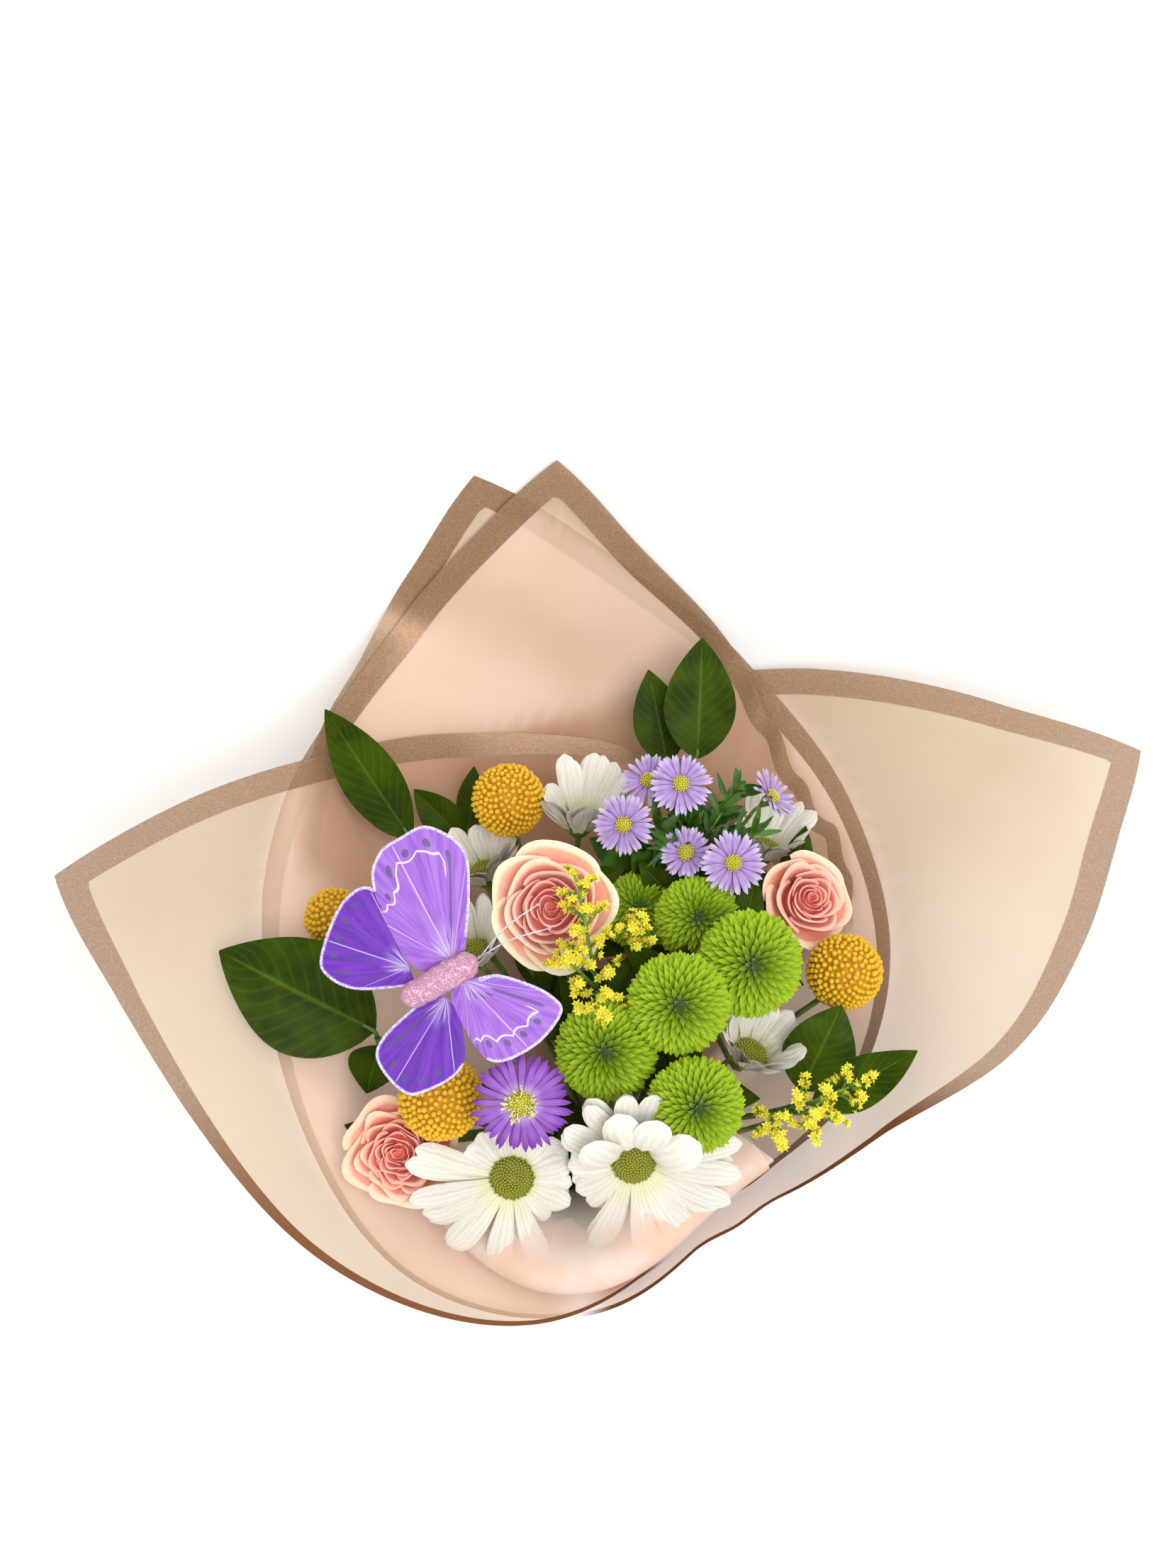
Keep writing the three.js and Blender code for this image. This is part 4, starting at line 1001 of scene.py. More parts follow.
@dataclass(frozen=True)
class Cone:
    """Form of the film round the tie: a trumpet that lies flat where it meets the table.

    It opens by `side` degrees, to which `back`, `front` and a growing `curl` add, less a tuck on one side.
    """

    waist: float = 15.0
    tail: float = -42.0
    tail_flare: float = 0.22
    side: float = 24.0
    back: float = 9.0
    front: float = 6.0
    curl: float = 32.0
    back_curl: float = 25.0
    curl_reach: float = 300.0
    tuck_turn: float = 150.0
    tuck_spread: float = 32.0
    tuck_depth: float = 9.0
    sag_depth: float = 34.0
    pitch: float = 2.7
    film: float = 0.7
    resting_layer: int = 2
    blend: float = 6.0

    def wall(self, turn: Array, reach: Array) -> Array:
        """Returns points of the innermost film.

        Args:
            turn: direction round the tie in radians, from the back.
            reach: distance from the tie along the film.
        """
        backwards = np.cos(turn)
        off = np.degrees(turn) % 360 - self.tuck_turn
        tuck = self.tuck_depth * np.exp(-((off / self.tuck_spread) ** 2))
        lean = np.where(backwards > 0, self.back, self.front) * backwards**2 - tuck
        up = np.maximum(reach, 0)
        curl = (self.curl - self.back_curl * np.maximum(backwards, 0) ** 2) * (up / self.curl_reach) ** 3
        opening = np.radians(self.side + lean * ease(up, 0, 60) + curl)
        radius = self.waist + np.where(reach > 0, up * np.sin(opening), -self.tail_flare * reach)
        along = np.where(reach > 0, up * np.cos(opening), reach)
        at = np.stack([radius * np.sin(turn), radius * backwards, along], -1)
        floor = self.resting_layer * self.pitch + self.film
        height = TIE_HEIGHT + at[..., 2] * math.sin(LEAN) - at[..., 1] * math.cos(LEAN)
        sag = self.sag_depth * ease(reach, 120, 230) * ease(backwards, 0.3, 0.9)
        above = height - sag - floor
        bent = (above + self.blend) ** 2 / (4 * self.blend)
        lies = np.where(above < -self.blend, 0, np.where(above < self.blend, bent, above))
        drop = floor + lies - height
        at[..., 1] -= drop * math.cos(LEAN)
        at[..., 2] += drop * math.sin(LEAN)
        return at

    def outward(self, turn: Array, reach: Array) -> Array:
        """Returns directions out of the film, square to it."""
        around = self.wall(turn + 0.004, reach) - self.wall(turn - 0.004, reach)
        up = self.wall(turn, reach + 0.8) - self.wall(turn, reach - 0.8)
        normal = unit(np.cross(around, up))
        away = np.stack([np.sin(turn), np.cos(turn), np.full(np.shape(turn), -0.3)], -1)
        return np.where(np.sum(normal * away, -1, keepdims=True) < 0, -normal, normal)

    def gather(self, turn: Array, reach: Array) -> Array:
        """Returns how far the pleats that run out from the tie lift the film there."""
        pleats = np.sin(turn * 17 + np.sin(turn * 5) * 1.6) + 0.5 * np.sin(turn * 31 + 1.0)
        near = np.where(reach < 0, 0.35 + ease(-reach, 8, 42) * 0.8, 0.35 + ease(reach, 8, 55))
        return pleats * near * (1 - ease(reach, 55, 150))

    def point(self, turn: Array, reach: Array, depth: Values) -> Array:
        """Returns points at a depth outside the innermost film."""
        turn, reach = np.broadcast_arrays(turn, reach)
        depth = np.broadcast_to(depth, turn.shape) + self.gather(turn, reach)
        return self.wall(turn, reach) + self.outward(turn, reach) * depth[..., None]


CONE = Cone()
RUFFLE_LENGTH = 8.5  # degrees from one wave of a ruffled edge to the next
RUFFLE_FADE = 8.0  # degrees over which the waves begin and end
RUFFLE_HEIGHT = 1.5
SIDE_FADE = 9.0  # degrees over which a sheet's cut sides fade out
EDGE_ROWS = np.arange(0, 21, 1.4)  # distances of the grid's outer rows from the free edge


@dataclass(frozen=True)
class Sheet:
    """One square film sheet whose corner stands up over the blooms.

    Attributes:
        name: its CAD node.
        layer: its place from the inside out.
        before: pairs of turn in degrees and reach along the edge up to the corner.
        corner: the corner's pair.
        after: the pairs past the corner.
        flat: width and length that it was cut to, in metres; not used.
        band: pairs of turn and width of the glitter border, which narrows where the edge curls away.
        ruffle: first and last turn of a wavy stretch of edge, or none.
        curl: how much painted shade darkens the narrow border where it curls away.
    """

    name: str
    layer: int
    before: Pairs
    corner: tuple[float, float]
    after: Pairs
    flat: tuple[float, float]
    band: Pairs
    ruffle: tuple[float, float] | None = None
    curl: float = 1.0

    def rim(self, turn: float) -> float:
        """Returns how far the edge reaches at a turn in degrees, by a smooth curve."""
        pairs = [*self.before, self.corner] if turn <= self.corner[0] else [self.corner, *self.after]
        i = 0
        while i < len(pairs) - 2 and turn > pairs[i + 1][0]:
            i += 1
        slopes = []
        for k in (i, i + 1):
            low, high = pairs[max(0, k - 1)], pairs[min(len(pairs) - 1, k + 1)]
            slopes.append((high[1] - low[1]) / (high[0] - low[0]))
        (from_turn, from_reach), (to_turn, to_reach) = pairs[i], pairs[i + 1]
        span = to_turn - from_turn
        t = min(1.0, max(0.0, (turn - from_turn) / span))
        rise = t * t * (3 - 2 * t)
        curve = t * (1 - t) ** 2 * span * slopes[0] + t * t * (t - 1) * span * slopes[1]
        return from_reach + (to_reach - from_reach) * rise + curve

    def covers(self, turns: Array, reach: Array) -> Array:
        """Returns how fully this sheet lies over points given by turn in degrees and reach."""
        start, end = self.before[0][0], self.after[-1][0]
        cover = np.zeros(reach.shape)
        for column, turn in enumerate(turns):
            for turned in (turn - 360, turn, turn + 360):
                if start <= turned <= end:
                    near = ease(min(turned - start, end - turned), 0.0, SIDE_FADE)
                    over = near * ease(self.rim(turned) - reach[:, column], -9.0, 9.0)
                    cover[:, column] = np.maximum(cover[:, column], over)
        return cover

    def build(self, others: list["Sheet"]) -> Shape:
        """Returns the sheet's fine grid.

        Args:
            others: the sheets that may lie over this one.
        """
        start, end = self.before[0][0], self.after[-1][0]
        count = int((end - start) / 1.1)
        turns = np.unique(np.append(np.linspace(start, end, count), self.corner[0]))
        rims = np.array([self.rim(turn) for turn in turns])
        depth = np.full((1, len(turns)), self.layer * CONE.pitch + CONE.film / 2)
        fold = np.zeros((1, len(turns)))
        if self.ruffle:
            first, last = self.ruffle
            inside = ease(turns, first, first + RUFFLE_FADE) * ease(-turns, -last, RUFFLE_FADE - last)
            phase = (turns - first) * FULL_TURN / RUFFLE_LENGTH
            rims = rims + RUFFLE_HEIGHT * (inside * np.sin(phase))
            fold = (inside * (1 - np.cos(phase + 0.8)))[None]
        low = CONE.tail + (rims - EDGE_ROWS[-1] - CONE.tail)[None] * np.linspace(0, 1, 34)[:, None]
        reach = np.concatenate([low[:-1], rims[None] - EDGE_ROWS[::-1, None]])
        fade = ease(reach - rims[None], -46, 0)
        angle = np.broadcast_to(np.radians(turns)[None], reach.shape)
        points = CONE.point(angle, reach, depth - 0.55 * fold * fade)
        band = np.interp(turns, *vec(self.band).T)
        edge = self.edge_distance(points) * (FilmFinish.border_width / band)[None]
        stacked = np.zeros(reach.shape)
        for other in others:
            if other.name != self.name:
                stacked = stacked + other.covers(turns, reach) / 3
        stacked = np.maximum(stacked, ease(-reach, -190, -150) / 3)
        side = ease(np.minimum(turns - start, end - turns), 0, SIDE_FADE)[None]
        shape = Shape()
        # the second surface coordinate carries how much painted shade the narrow border takes where it curls away
        shape.add(points, angle / math.pi, self.curl * ease(-band, -6.5, -3.5)[None], (edge / 100, stacked, side))
        return shape

    @staticmethod
    def edge_distance(points: Array) -> Array:
        """Returns each grid point's distance to the sheet's open edge, up to 100 mm."""
        edge = points[-1]
        ends = np.concatenate([edge[1:], edge[-1:]])
        share = np.linspace(0, 1, 6)[:, None, None]
        dense = (edge[None] * (1 - share) + ends[None] * share).reshape(-1, 3)
        flat = points.reshape(-1, 3)
        nearest = np.full(len(flat), 100.0)
        batch = 400
        for i in range(0, len(dense), batch):
            gap = np.linalg.norm(flat[:, None] - dense[None, i : i + batch], axis=2)
            nearest = np.minimum(nearest, gap.min(1))
        return nearest.reshape(points.shape[:2])

    def dress(self, others: list["Sheet"]) -> None:
        shape = self.build(others)
        area = shape.area()
        piece = make_piece(self.name + "_film", shape, ["film"], [self.name])
        log.info("%s: %.4f square metres of film", self.name, area)


SHEETS = [
    Sheet(
        "wrap_left_sheet", 0,
        [(-195, 154), (-184, 155), (-164, 173), (-149, 188), (-129, 209), (-106, 231), (-89, 253)],
        (-76, 279),
        [(-64, 256), (-48, 224), (-32, 203), (-16, 191), (1, 183), (21, 172), (40, 169), (57, 169)],
        (0.44, 0.44),
        [(-195, 2.2), (-164, 2.4), (-145, 2.8), (-125, 3.6), (-110, 4.8), (-89, 7.4), (-76, 11.2), (-30, 10.5),
         (1, 7), (57, 6)]),
    Sheet(
        "wrap_back_inner_sheet", 1,
        [(-174, 160), (-158, 170), (-138, 184), (-109, 196), (-83, 210), (-57, 231), (-43, 239), (-31, 252),
         (-18, 279)],
        (-6, 312),
        [(3, 272), (15, 239), (30, 207), (42, 192), (52, 189), (66, 174)],
        (0.42, 0.42),
        [(-174, 2.4), (-134, 3), (-110, 4), (-83, 6.2), (-43, 10), (-31, 11.4), (3, 11.4), (15, 9), (30, 7),
         (66, 6)],
        (22, 66), 0.3),
    Sheet(
        "wrap_back_outer_sheet", 2,
        [(-69, 205), (-59, 222), (-47, 237), (-38, 247), (-26, 272)],
        (-15, 308),
        [(-2, 269), (11, 241), (28, 217), (48, 202), (64, 191), (82, 177), (102, 159), (120, 139), (135, 138),
         (166, 133), (187, 150)],
        (0.42, 0.42),
        [(-38, 11), (11, 11), (28, 9), (48, 7), (82, 5.8), (120, 5), (187, 3.5)]),
    Sheet(
        "wrap_right_sheet", 3,
        [(-36, 189), (-22, 192), (-3, 198), (14, 211), (33, 232), (53, 268)],
        (63, 295),
        [(70, 273), (81, 250), (96, 221), (111, 179), (132, 158), (148, 157), (162, 148), (191, 156)],
        (0.42, 0.42),
        [(-36, 9), (0, 11), (70, 11.4), (81, 9.5), (96, 6.5), (111, 2.8), (148, 2.4), (191, 3)]),
]


def plain_sheet(grid: Array) -> Shape:
    """Returns a shape of one grid whose surface coordinates run from 0 to 1."""
    shape = Shape()
    rows, columns = grid.shape[:2]
    shape.add(grid, np.linspace(0, 1, columns), np.linspace(0, 1, rows)[:, None])
    return shape


@dataclass(frozen=True)
class Liner:
    """Frosted liner that runs up inside the front of the wrap and folds in over the lowest petals."""

    start: float = -146.0
    end: float = -232.0
    fold: float = 150.0
    flap: float = 46.0
    roll: float = 6.0
    flap_lean: float = -0.05
    veil: float = 44.0
    veil_lean: float = 28.0
    veil_bow: float = 18.0
    veil_start: float = -128.0
    veil_end: float = -228.0

    def dress(self) -> None:
        """Builds the liner and gives it its frosted film."""
        turns = np.radians(np.linspace(self.start, self.end, 48))
        reaches = np.linspace(CONE.tail, self.fold, 30)
        wall = CONE.point(turns[None], reaches[:, None], CONE.film / 2 - CONE.pitch)
        up = unit(wall[-1] - wall[-2])
        inward = unit(np.stack([-np.sin(turns), -np.cos(turns), np.full(len(turns), self.flap_lean)], 1))
        side = 1 - 0.35 * np.abs(np.linspace(-1, 1, len(turns)))
        crest = wall[-1] + up * self.roll + inward * self.roll * 0.7
        bow = [wall[-1] + up * self.roll * math.sin(a) + inward * self.roll * 0.7 * (1 - math.cos(a))
               for a in (0.5, 1.0, 1.5)]
        sway = 0.8 * np.sin(np.linspace(0, 9, len(turns)))[:, None] * up
        flap = [crest + inward * (self.flap * side * t)[:, None] + sway * t for t in np.linspace(0.08, 1, 16)]
        shape = plain_sheet(np.concatenate([wall, np.stack(bow), np.stack(flap)]))
        piece = make_piece("wrap_front_liner_film", shape, ["frost"], ["wrap_front_liner"])
        log.info("liner: %.4f square metres of film", shape.area())
        shape.area()
        self.dress_veil()

    def dress_veil(self) -> None:
        """Builds the liner's second leaf, which stands up over the lowest petals."""
        turns = np.radians(np.linspace(self.veil_start, self.veil_end, 72))
        place = np.linspace(-1, 1, len(turns))
        reaches = np.linspace(100, self.fold + 6, 8)
        wall = CONE.point(turns[None], reaches[:, None], CONE.film / 2 - CONE.pitch - 1.2)
        up = unit(wall[-1] - wall[-2])
        inward = np.stack([-np.sin(turns), -np.cos(turns), 0 * turns], 1)
        high = (1 - 0.5 * np.abs(place) ** 4 + 0.04 * np.sin(place * 11))[:, None]
        bow = wall[-1] + up * self.veil_bow * high
        tip = wall[-1] + (inward * self.veil_lean + triple(0, 0, self.veil)) * high
        sway = 1.3 * np.sin(place * 8)[:, None] * inward
        rows = []
        for t in np.linspace(0.05, 1, 18):
            rows.append(wall[-1] * (1 - t) ** 2 + bow * 2 * t * (1 - t) + tip * t * t + sway * t)
        shape = plain_sheet(np.concatenate([wall, np.stack(rows)]))
        piece = make_piece("wrap_front_veil_film", shape, ["veil"], [])
        log.info("veil: %.4f square metres of film", shape.area())
        shape.area()


@dataclass(frozen=True)
class Ribbon:
    """Satin band round the tie, drawn into small pleats."""

    inside: float = 24.7
    half: float = 7.0
    thick: float = 1.1
    pleats: int = 26
    ease_turn: float = 13.0
    columns: int = 156

    def radius(self, height: float) -> float:
        """Returns the band's inner radius at a height above the tie."""
        return self.inside + (0.72 if height > 0 else 0.4) * abs(height)

    def drawn_in(self, turns: Array) -> Array:
        """Returns how far the band is drawn in where fewer sheets lie under it."""
        missing = []
        for turn in 90 - np.degrees(turns):
            layers = [0]
            for sheet in SHEETS:
                start, end = sheet.before[0][0] - self.ease_turn, sheet.after[-1][0] + self.ease_turn
                if (turn - start) % 360 <= end - start:
                    layers.append(sheet.layer)
            missing.append((SHEETS[-1].layer - max(layers)) * CONE.pitch)
        return np.mean([np.roll(missing, shift) for shift in range(-5, 6)], 0)

    def dress(self) -> None:
        """Builds the band and gives it its satin."""
        turns = circle(self.columns)
        heights = np.linspace(-self.half, self.half, 11)
        outer = np.array([[self.radius(h) + self.thick] for h in heights]) - self.drawn_in(turns)
        pleat = 0.35 * np.sin(turns * self.pleats)[None] * (0.5 + 0.5 * np.abs(heights / self.half))[:, None]
        crease = 0.5 * np.exp(-((heights / 2.0) ** 2))[:, None]
        radius = outer + pleat + crease
        inner = radius - self.thick
        loop = np.concatenate([radius, inner[::-1], radius[:1]])
        level = np.concatenate([heights, heights[::-1], heights[:1]])
        points = np.stack([loop * np.cos(turns), loop * np.sin(turns), np.broadcast_to(level[:, None], loop.shape)], -1)
        shape = Shape()
        shape.add(points, turns[None] / FULL_TURN, np.linspace(0, 1, len(loop))[:, None], closed=True)
        make_piece("ribbon_satin", shape, ["ribbon"], ["ribbon_band"])


# Stems


@dataclass
class Shoot:
    """One stem from its bloom through the tie to its cut end."""

    top: Array
    base: Array
    radius: float
    waist: Array
    slot: Array | None = None

    def on(self, height: float) -> Array:
        """Returns the point of the stem at a height above the tie."""
        return self.waist + (self.base - self.waist) * (height - self.waist[2]) / (self.base[2] - self.waist[2])


@dataclass
class StemPlan:
    """All stems, which settle side by side where they bend and where the tie holds them.

    Their lines above the bend meet `fan` under the tie, and `handle` is their length under it.
    """

    bend_height: float = 84.0
    bend_radius: float = 42.0
    bundle_radius: float = 11.6
    bend_gap: float = 2.4
    tie_gap: float = 0.35
    fan: float = 26.0
    handle: float = 110.0
    flare: float = 0.0035
    cut_spread: float = 6.0
    pushes: int = 400
    shoots: dict[str, Shoot] = field(default_factory=dict)

    def shoot(self, name: str, top: Array, down: Array, radius: float, neck: float = 16.0) -> None:
        """Adds a stem.

        Args:
            name: how it is asked for.
            top: where it meets its bloom.
            down: direction in which it leaves.
            radius: its radius.
            neck: how far it keeps that direction.
        """
        base = top + unit(down) * neck
        share = (self.bend_height + self.fan) / (base[2] + self.fan)
        waist = triple(base[0] * share, base[1] * share, self.bend_height)
        self.shoots[name] = Shoot(top, base, radius, waist)

    def spread(self, level: str, gap: float, most: float) -> None:
        """Pushes stems apart at one level and keeps them within a radius.

        Args:
            level: name of the points that move, "waist" or "slot".
            gap: free space between two stems.
            most: the radius that they keep within.
        """
        stems = list(self.shoots.values())
        places = [[float(x) for x in getattr(stem, level)[:2]] for stem in stems]
        pairs = list(combinations(zip(places, stems), 2))
        for _ in range(self.pushes):
            for (a, stem), (b, other) in pairs:
                x, y = b[0] - a[0], b[1] - a[1]
                apart = math.hypot(x, y)
                short = stem.radius + other.radius + gap - apart
                if short > 0:
                    push = short / 2 / apart
                    a[:] = a[0] - x * push, a[1] - y * push
                    b[:] = b[0] + x * push, b[1] + y * push
            for place, stem in zip(places, stems):
                share = (most - stem.radius) / math.hypot(*place)
                if share < 1:
                    place[:] = place[0] * share, place[1] * share
        for stem, place in zip(stems, places):
            getattr(stem, level)[:2] = place

    def settle(self) -> None:
        """Settles all stems at the bend and then in the tie."""
        self.spread("waist", self.bend_gap, self.bend_radius)
        for stem in self.shoots.values():
            stem.slot = stem.waist * (self.bundle_radius / self.bend_radius) * triple(1, 1, 0)
        self.spread("slot", self.tie_gap, self.bundle_radius)

    def path(self, name: str) -> list[Array]:
        """Returns the points that a stem runs through."""
        stem = self.shoots[name]
        end = stem.slot * (1 + self.flare * self.handle)
        table = (end[1] * math.cos(LEAN) + stem.radius * 1.2 - TIE_HEIGHT) / math.sin(LEAN)
        cut = -self.handle + self.cut_spread * math.sin(stem.slot[0] * 3 + stem.slot[1])
        end[2] = max(table, cut)
        return [stem.top, stem.base, stem.waist, stem.slot, end]

    def draw(self, shape: Shape, name: str, slot: int = 0) -> None:
        """Adds a stem's round bar to a shape."""
        radius = self.shoots[name].radius
        add_tube(shape, self.path(name), [radius] * 5, slot, 9)

    def twig(self, shape: Shape, name: str, height: float, stand: Stand, radius: float) -> None:
        """Adds a twig from a stem at a height to the back of a bloom.

        Args:
            shape: where it goes.
            name: the stem.
            height: where it leaves the stem, above the tie.
            stand: the bloom's place.
            radius: its own radius at the stem.
        """
        root, face = self.shoots[name].on(height), stand.axis()
        top = vec(stand.at) - face * 5
        add_tube(shape, [root, top + unit(-face) * 9, top], [radius, radius * 0.9, radius * 0.9], 0, 7)


PLAN = StemPlan()


def stem_leaf(
    shape: Shape, root: Array, way: Array, length: float, width: float, slot: int, tone: float = 0.3
) -> None:
    """Adds a small narrow leaf or sepal.

    Args:
        shape: where it goes.
        root: the point that it grows from.
        way: direction in which it grows.
        length: its length.
        width: its width.
        slot: index of the material.
        tone: its own tone.
    """
    stand = Stand(tuple(root), tuple(square(vec(TOWARDS_VIEWER), way)), tuple(unit(way)))
    grids = blades(stand, NARROW_LEAF, vec([math.pi / 2]), 0.0, length, width, 0.0, -0.4)
    add_blades(shape, grids, tone, 0.5, slot)


def broad_leaf(shape: Shape, root: Array, tip: Array, width: float, tone: float, slot: int = 0) -> None:
    """Adds one leaf with a folded midrib and a drawn-out tip.

    Args:
        shape: where it goes.
        root: where it starts.
        tip: where it would end if it lay straight.
        width: its full width.
        tone: its own tone, which also sets how it waves and leans.
        slot: index of the material.
    """
    way = tip - root
    length = float(np.linalg.norm(way))
    stand = Stand(tuple(root), tuple(square(vec(TOWARDS_VIEWER), way)), tuple(way))
    t, u = steps(26, 13)
    share = np.sin(math.pi * np.clip(t, 0.003, 0.997) ** 0.82) ** 0.85
    half = width / 2 * share
    bend = -0.3
    turn = bend * t
    y = length * np.sin(turn) / bend
    z = length * (1 - np.cos(turn)) / bend
    rise = 0.14 * np.abs(u) ** 1.4 * half + 0.5 * np.sin(t * 13 + tone * 5) * u**2 * share - 0.25
    rise = rise - 0.45 * np.exp(-((u / 0.12) ** 2))
    lean = 0.25 * (tone - 0.5) * t
    x = half * u * np.cos(lean)
    off = rise + half * u * np.sin(lean)
    grid = stand.offset(x, y - np.sin(turn) * off, z + np.cos(turn) * off)
    add_blades(shape, grid[None], tone, 0.0, slot)


def stem_leaves(shape: Shape, name: str, levels: list[float], reach: float, slot: int, seed: int) -> None:
    """Adds dark leaves that fill the space between the blooms.

    Args:
        shape: where they go.
        name: the stem that they grow from.
        levels: distances below the top of its straight part.
        reach: length of each leaf.
        slot: material of the leaves.
        seed: start of their small differences.
    """
    chance = seeded(seed)
    stem = PLAN.shoots[name]
    for i, level in enumerate(levels):
        turn = i * GOLDEN_TURN + chance.uniform(0, 2)
        root = stem.on(stem.base[2] - level)
        way = unit(triple(math.cos(turn), math.sin(turn), chance.uniform(0.5, 0.9)))
        length = reach * chance.uniform(0.85, 1.15)
        broad_leaf(shape, root, root + way * length, length * 0.46, chance.uniform(0.1, 0.9), slot)


# Blooms


@dataclass(frozen=True)
class Rose:
    """Rose of many cupped petals round a rolled heart.

    Attributes:
        rings: number of petals, share from heart to outside, share of the height and span of each ring.
    """

    name: str
    stand: Stand
    radius: float
    high: float
    finish: str
    seed: int
    wave: float = 0.5
    rings: tuple = (
        (2, 0.06, 1.0, 3.6), (3, 0.16, 1.0, 2.8), (3, 0.28, 1.0, 2.6), (4, 0.42, 0.99, 2.1), (4, 0.57, 0.94, 2.1),
        (4, 0.74, 0.84, 2.1), (5, 1.0, 0.62, 1.75),
    )

    def plan(self) -> None:
        """Plans its stem."""
        face = self.stand.axis()
        PLAN.shoot("rose_" + self.name, vec(self.stand.at) - face * 2.3, -face, 2.3)

    def petal(self, share: float, crest: float, span: float, turn: float, chance: Chance) -> Array:
        """Returns one petal's grid.

        Args:
            share: its place from the heart, 0, to the outside, 1.
            crest: share of the bloom's height that its lip reaches.
            span: how far it runs round the axis, in radians.
            turn: its direction round the axis.
            chance: source of its own small differences.
        """
        v, u = steps(20, 17)
        foot = 0.6 + self.radius * 0.3 * share
        mouth = 0.9 + (self.radius * 0.88 - 0.9) * share * chance.uniform(0.97, 1.03) * (1 - 0.13 * np.abs(u) ** 3)
        lip = (0.45 + 1.5 * share) * (1 + 0.35 * np.exp(-((u / 0.35) ** 2)) * share)
        roll = 0.9 + 1.1 * share + chance.uniform(-0.25, 0.25)
        top = self.high * crest * (1 + chance.uniform(-0.05, 0.04)) * (1 - (0.1 + 0.2 * share) * np.abs(u) ** 2.5)
        t = np.clip(v / 0.78, 0, 1)
        arc = np.clip((v - 0.78) / 0.22, 0, 1) * roll
        wave = self.wave * np.sin(u * 4.4 + chance.uniform(0, 6)) * (0.3 + share) * v**2
        flare = 0.75 * share * share
        run = (1 - flare) * (1 - (1 - t) ** 2) + flare * t**1.7
        r = foot + (mouth - foot) * run + lip * (1 - np.cos(arc)) + 1.1 * u * (0.35 + share) + wave
        h = 0.8 + (top - 0.8) * t**1.1 + lip * np.sin(arc) * 0.8 + wave * 0.6
        around = turn + u * span / 2 * (0.5 + 0.5 * np.sin(np.clip(v / 0.55, 0, 1) * math.pi / 2))
        return self.stand.offset(r * np.cos(around), r * np.sin(around), h)

    def dress(self) -> None:
        """Builds the bloom and its stem with their finishes."""
        chance = seeded(self.seed)
        grids, tones, shares = [], [], []
        for i, (count, share, crest, span) in enumerate(self.rings):
            for k in range(count):
                turn = i * 2.3 + (k + chance.uniform(-0.12, 0.12)) * 2 * math.pi / count
                grids.append(self.petal(share, crest, span, turn, chance))
                tones.append(chance.uniform(0, 0.8))
                shares.append(share)
        shape = Shape()
        add_blades(shape, np.stack(grids), vec(tones), vec(shares))
        cup = [(CLOSED, 0.0), (3.6, -0.6), (self.radius * 0.42, 1.6), (self.radius * 0.44, self.high * 0.46),
               (self.radius * 0.28, self.high * 0.66), (CLOSED, self.high * 0.76)]
        add_dome(shape, self.stand, cup, at=(0.5, 0.12), marks=(0.2, 0.3, 0.0))
        make_piece(f"rose_{self.name}_petals", shape, [self.finish], [f"rose_{self.name}_bloom"])
        green = Shape()
        PLAN.draw(green, "rose_" + self.name)
        hip = [(CLOSED, -1.4), (4.9, -2.2), (5.0, -4.0), (4.0, -8.0), (2.2, -11.0), (CLOSED, -11.5)]
        add_dome(green, self.stand, hip, 14, at=(0.5, 0.5), marks=(0.5, 0.0, 0.0))
        for turn in circle(5):
            way = triple(math.cos(turn) * 0.9, math.sin(turn) * 0.9, -0.45) @ self.stand.axes()
            root = self.stand.offset(math.cos(turn) * 3, math.sin(turn) * 3, -3.8)
            stem_leaf(green, root, way, self.radius * 0.62, 5.0, 1)
        stem_leaves(green, "rose_" + self.name, [-8, -1, 6, 13], 27, 2, self.seed)
        make_piece(f"rose_{self.name}_green", green, ["stem", "calyx", "leaf"], [f"rose_{self.name}_stem"])


@dataclass(frozen=True)
class Ball:
    """Craspedia: a ball of hundreds of tiny knobs."""

    name: str
    at: Triple
    radius: float
    knob_area: float = 6.4

    def down(self) -> Array:
        """Returns the direction in which the stem leaves."""
        return unit(triple(-self.at[0] * 0.4, -self.at[1] * 0.4, -self.at[2]))

    def plan(self) -> None:
        """Plans its stem."""
        top = vec(self.at) + self.down() * (self.radius * 0.91 + 1)
        PLAN.shoot("ball_" + self.name, top, self.down(), 1.2, 10)

    def dress(self) -> None:
        """Builds the ball and its stem with their finishes."""
        chance = seeded(int(self.radius * 100))
        count = int(4 * math.pi * self.radius**2 / self.knob_area)
        k = np.arange(count) + 0.5
        z = 1 - 2 * k / count
        ring = np.sqrt(1 - z**2)
        out = np.stack([ring * np.cos(k * GOLDEN_TURN), ring * np.sin(k * GOLDEN_TURN), z], 1)
        out = unit(out + chance.normal(0, 0.012, out.shape))
        core = self.radius * 0.92
        size = chance.uniform(0.86, 1.12, count)
        shape = Shape()
        domes = knobs(vec(self.at) + out * (core - 0.7), out, 1.12 * size, 2.3 * size, 6)
        add_knobs(shape, domes, each(size, count) - 0.8)
        # the core shows through the gaps between the knobs in the finish's darker colours: painted shade
        profile = [(core * math.sin(a) + CLOSED, core * math.cos(a)) for a in np.linspace(0, math.pi, 15)]
        add_dome(shape, Stand(self.at, (0, 0, 1)), profile)
        make_piece(f"craspedia_{self.name}_knobs", shape, ["ball"], [f"craspedia_{self.name}_ball"])
        green = Shape()
        PLAN.draw(green, "ball_" + self.name)
        make_piece(f"craspedia_{self.name}_stalk", green, ["stem"], [f"craspedia_{self.name}_stem"])


class Spray(Enum):
    """Forked stems that carry the daisies."""

    FRONT = "front"
    BACK = "back"
    RIGHT = "right"


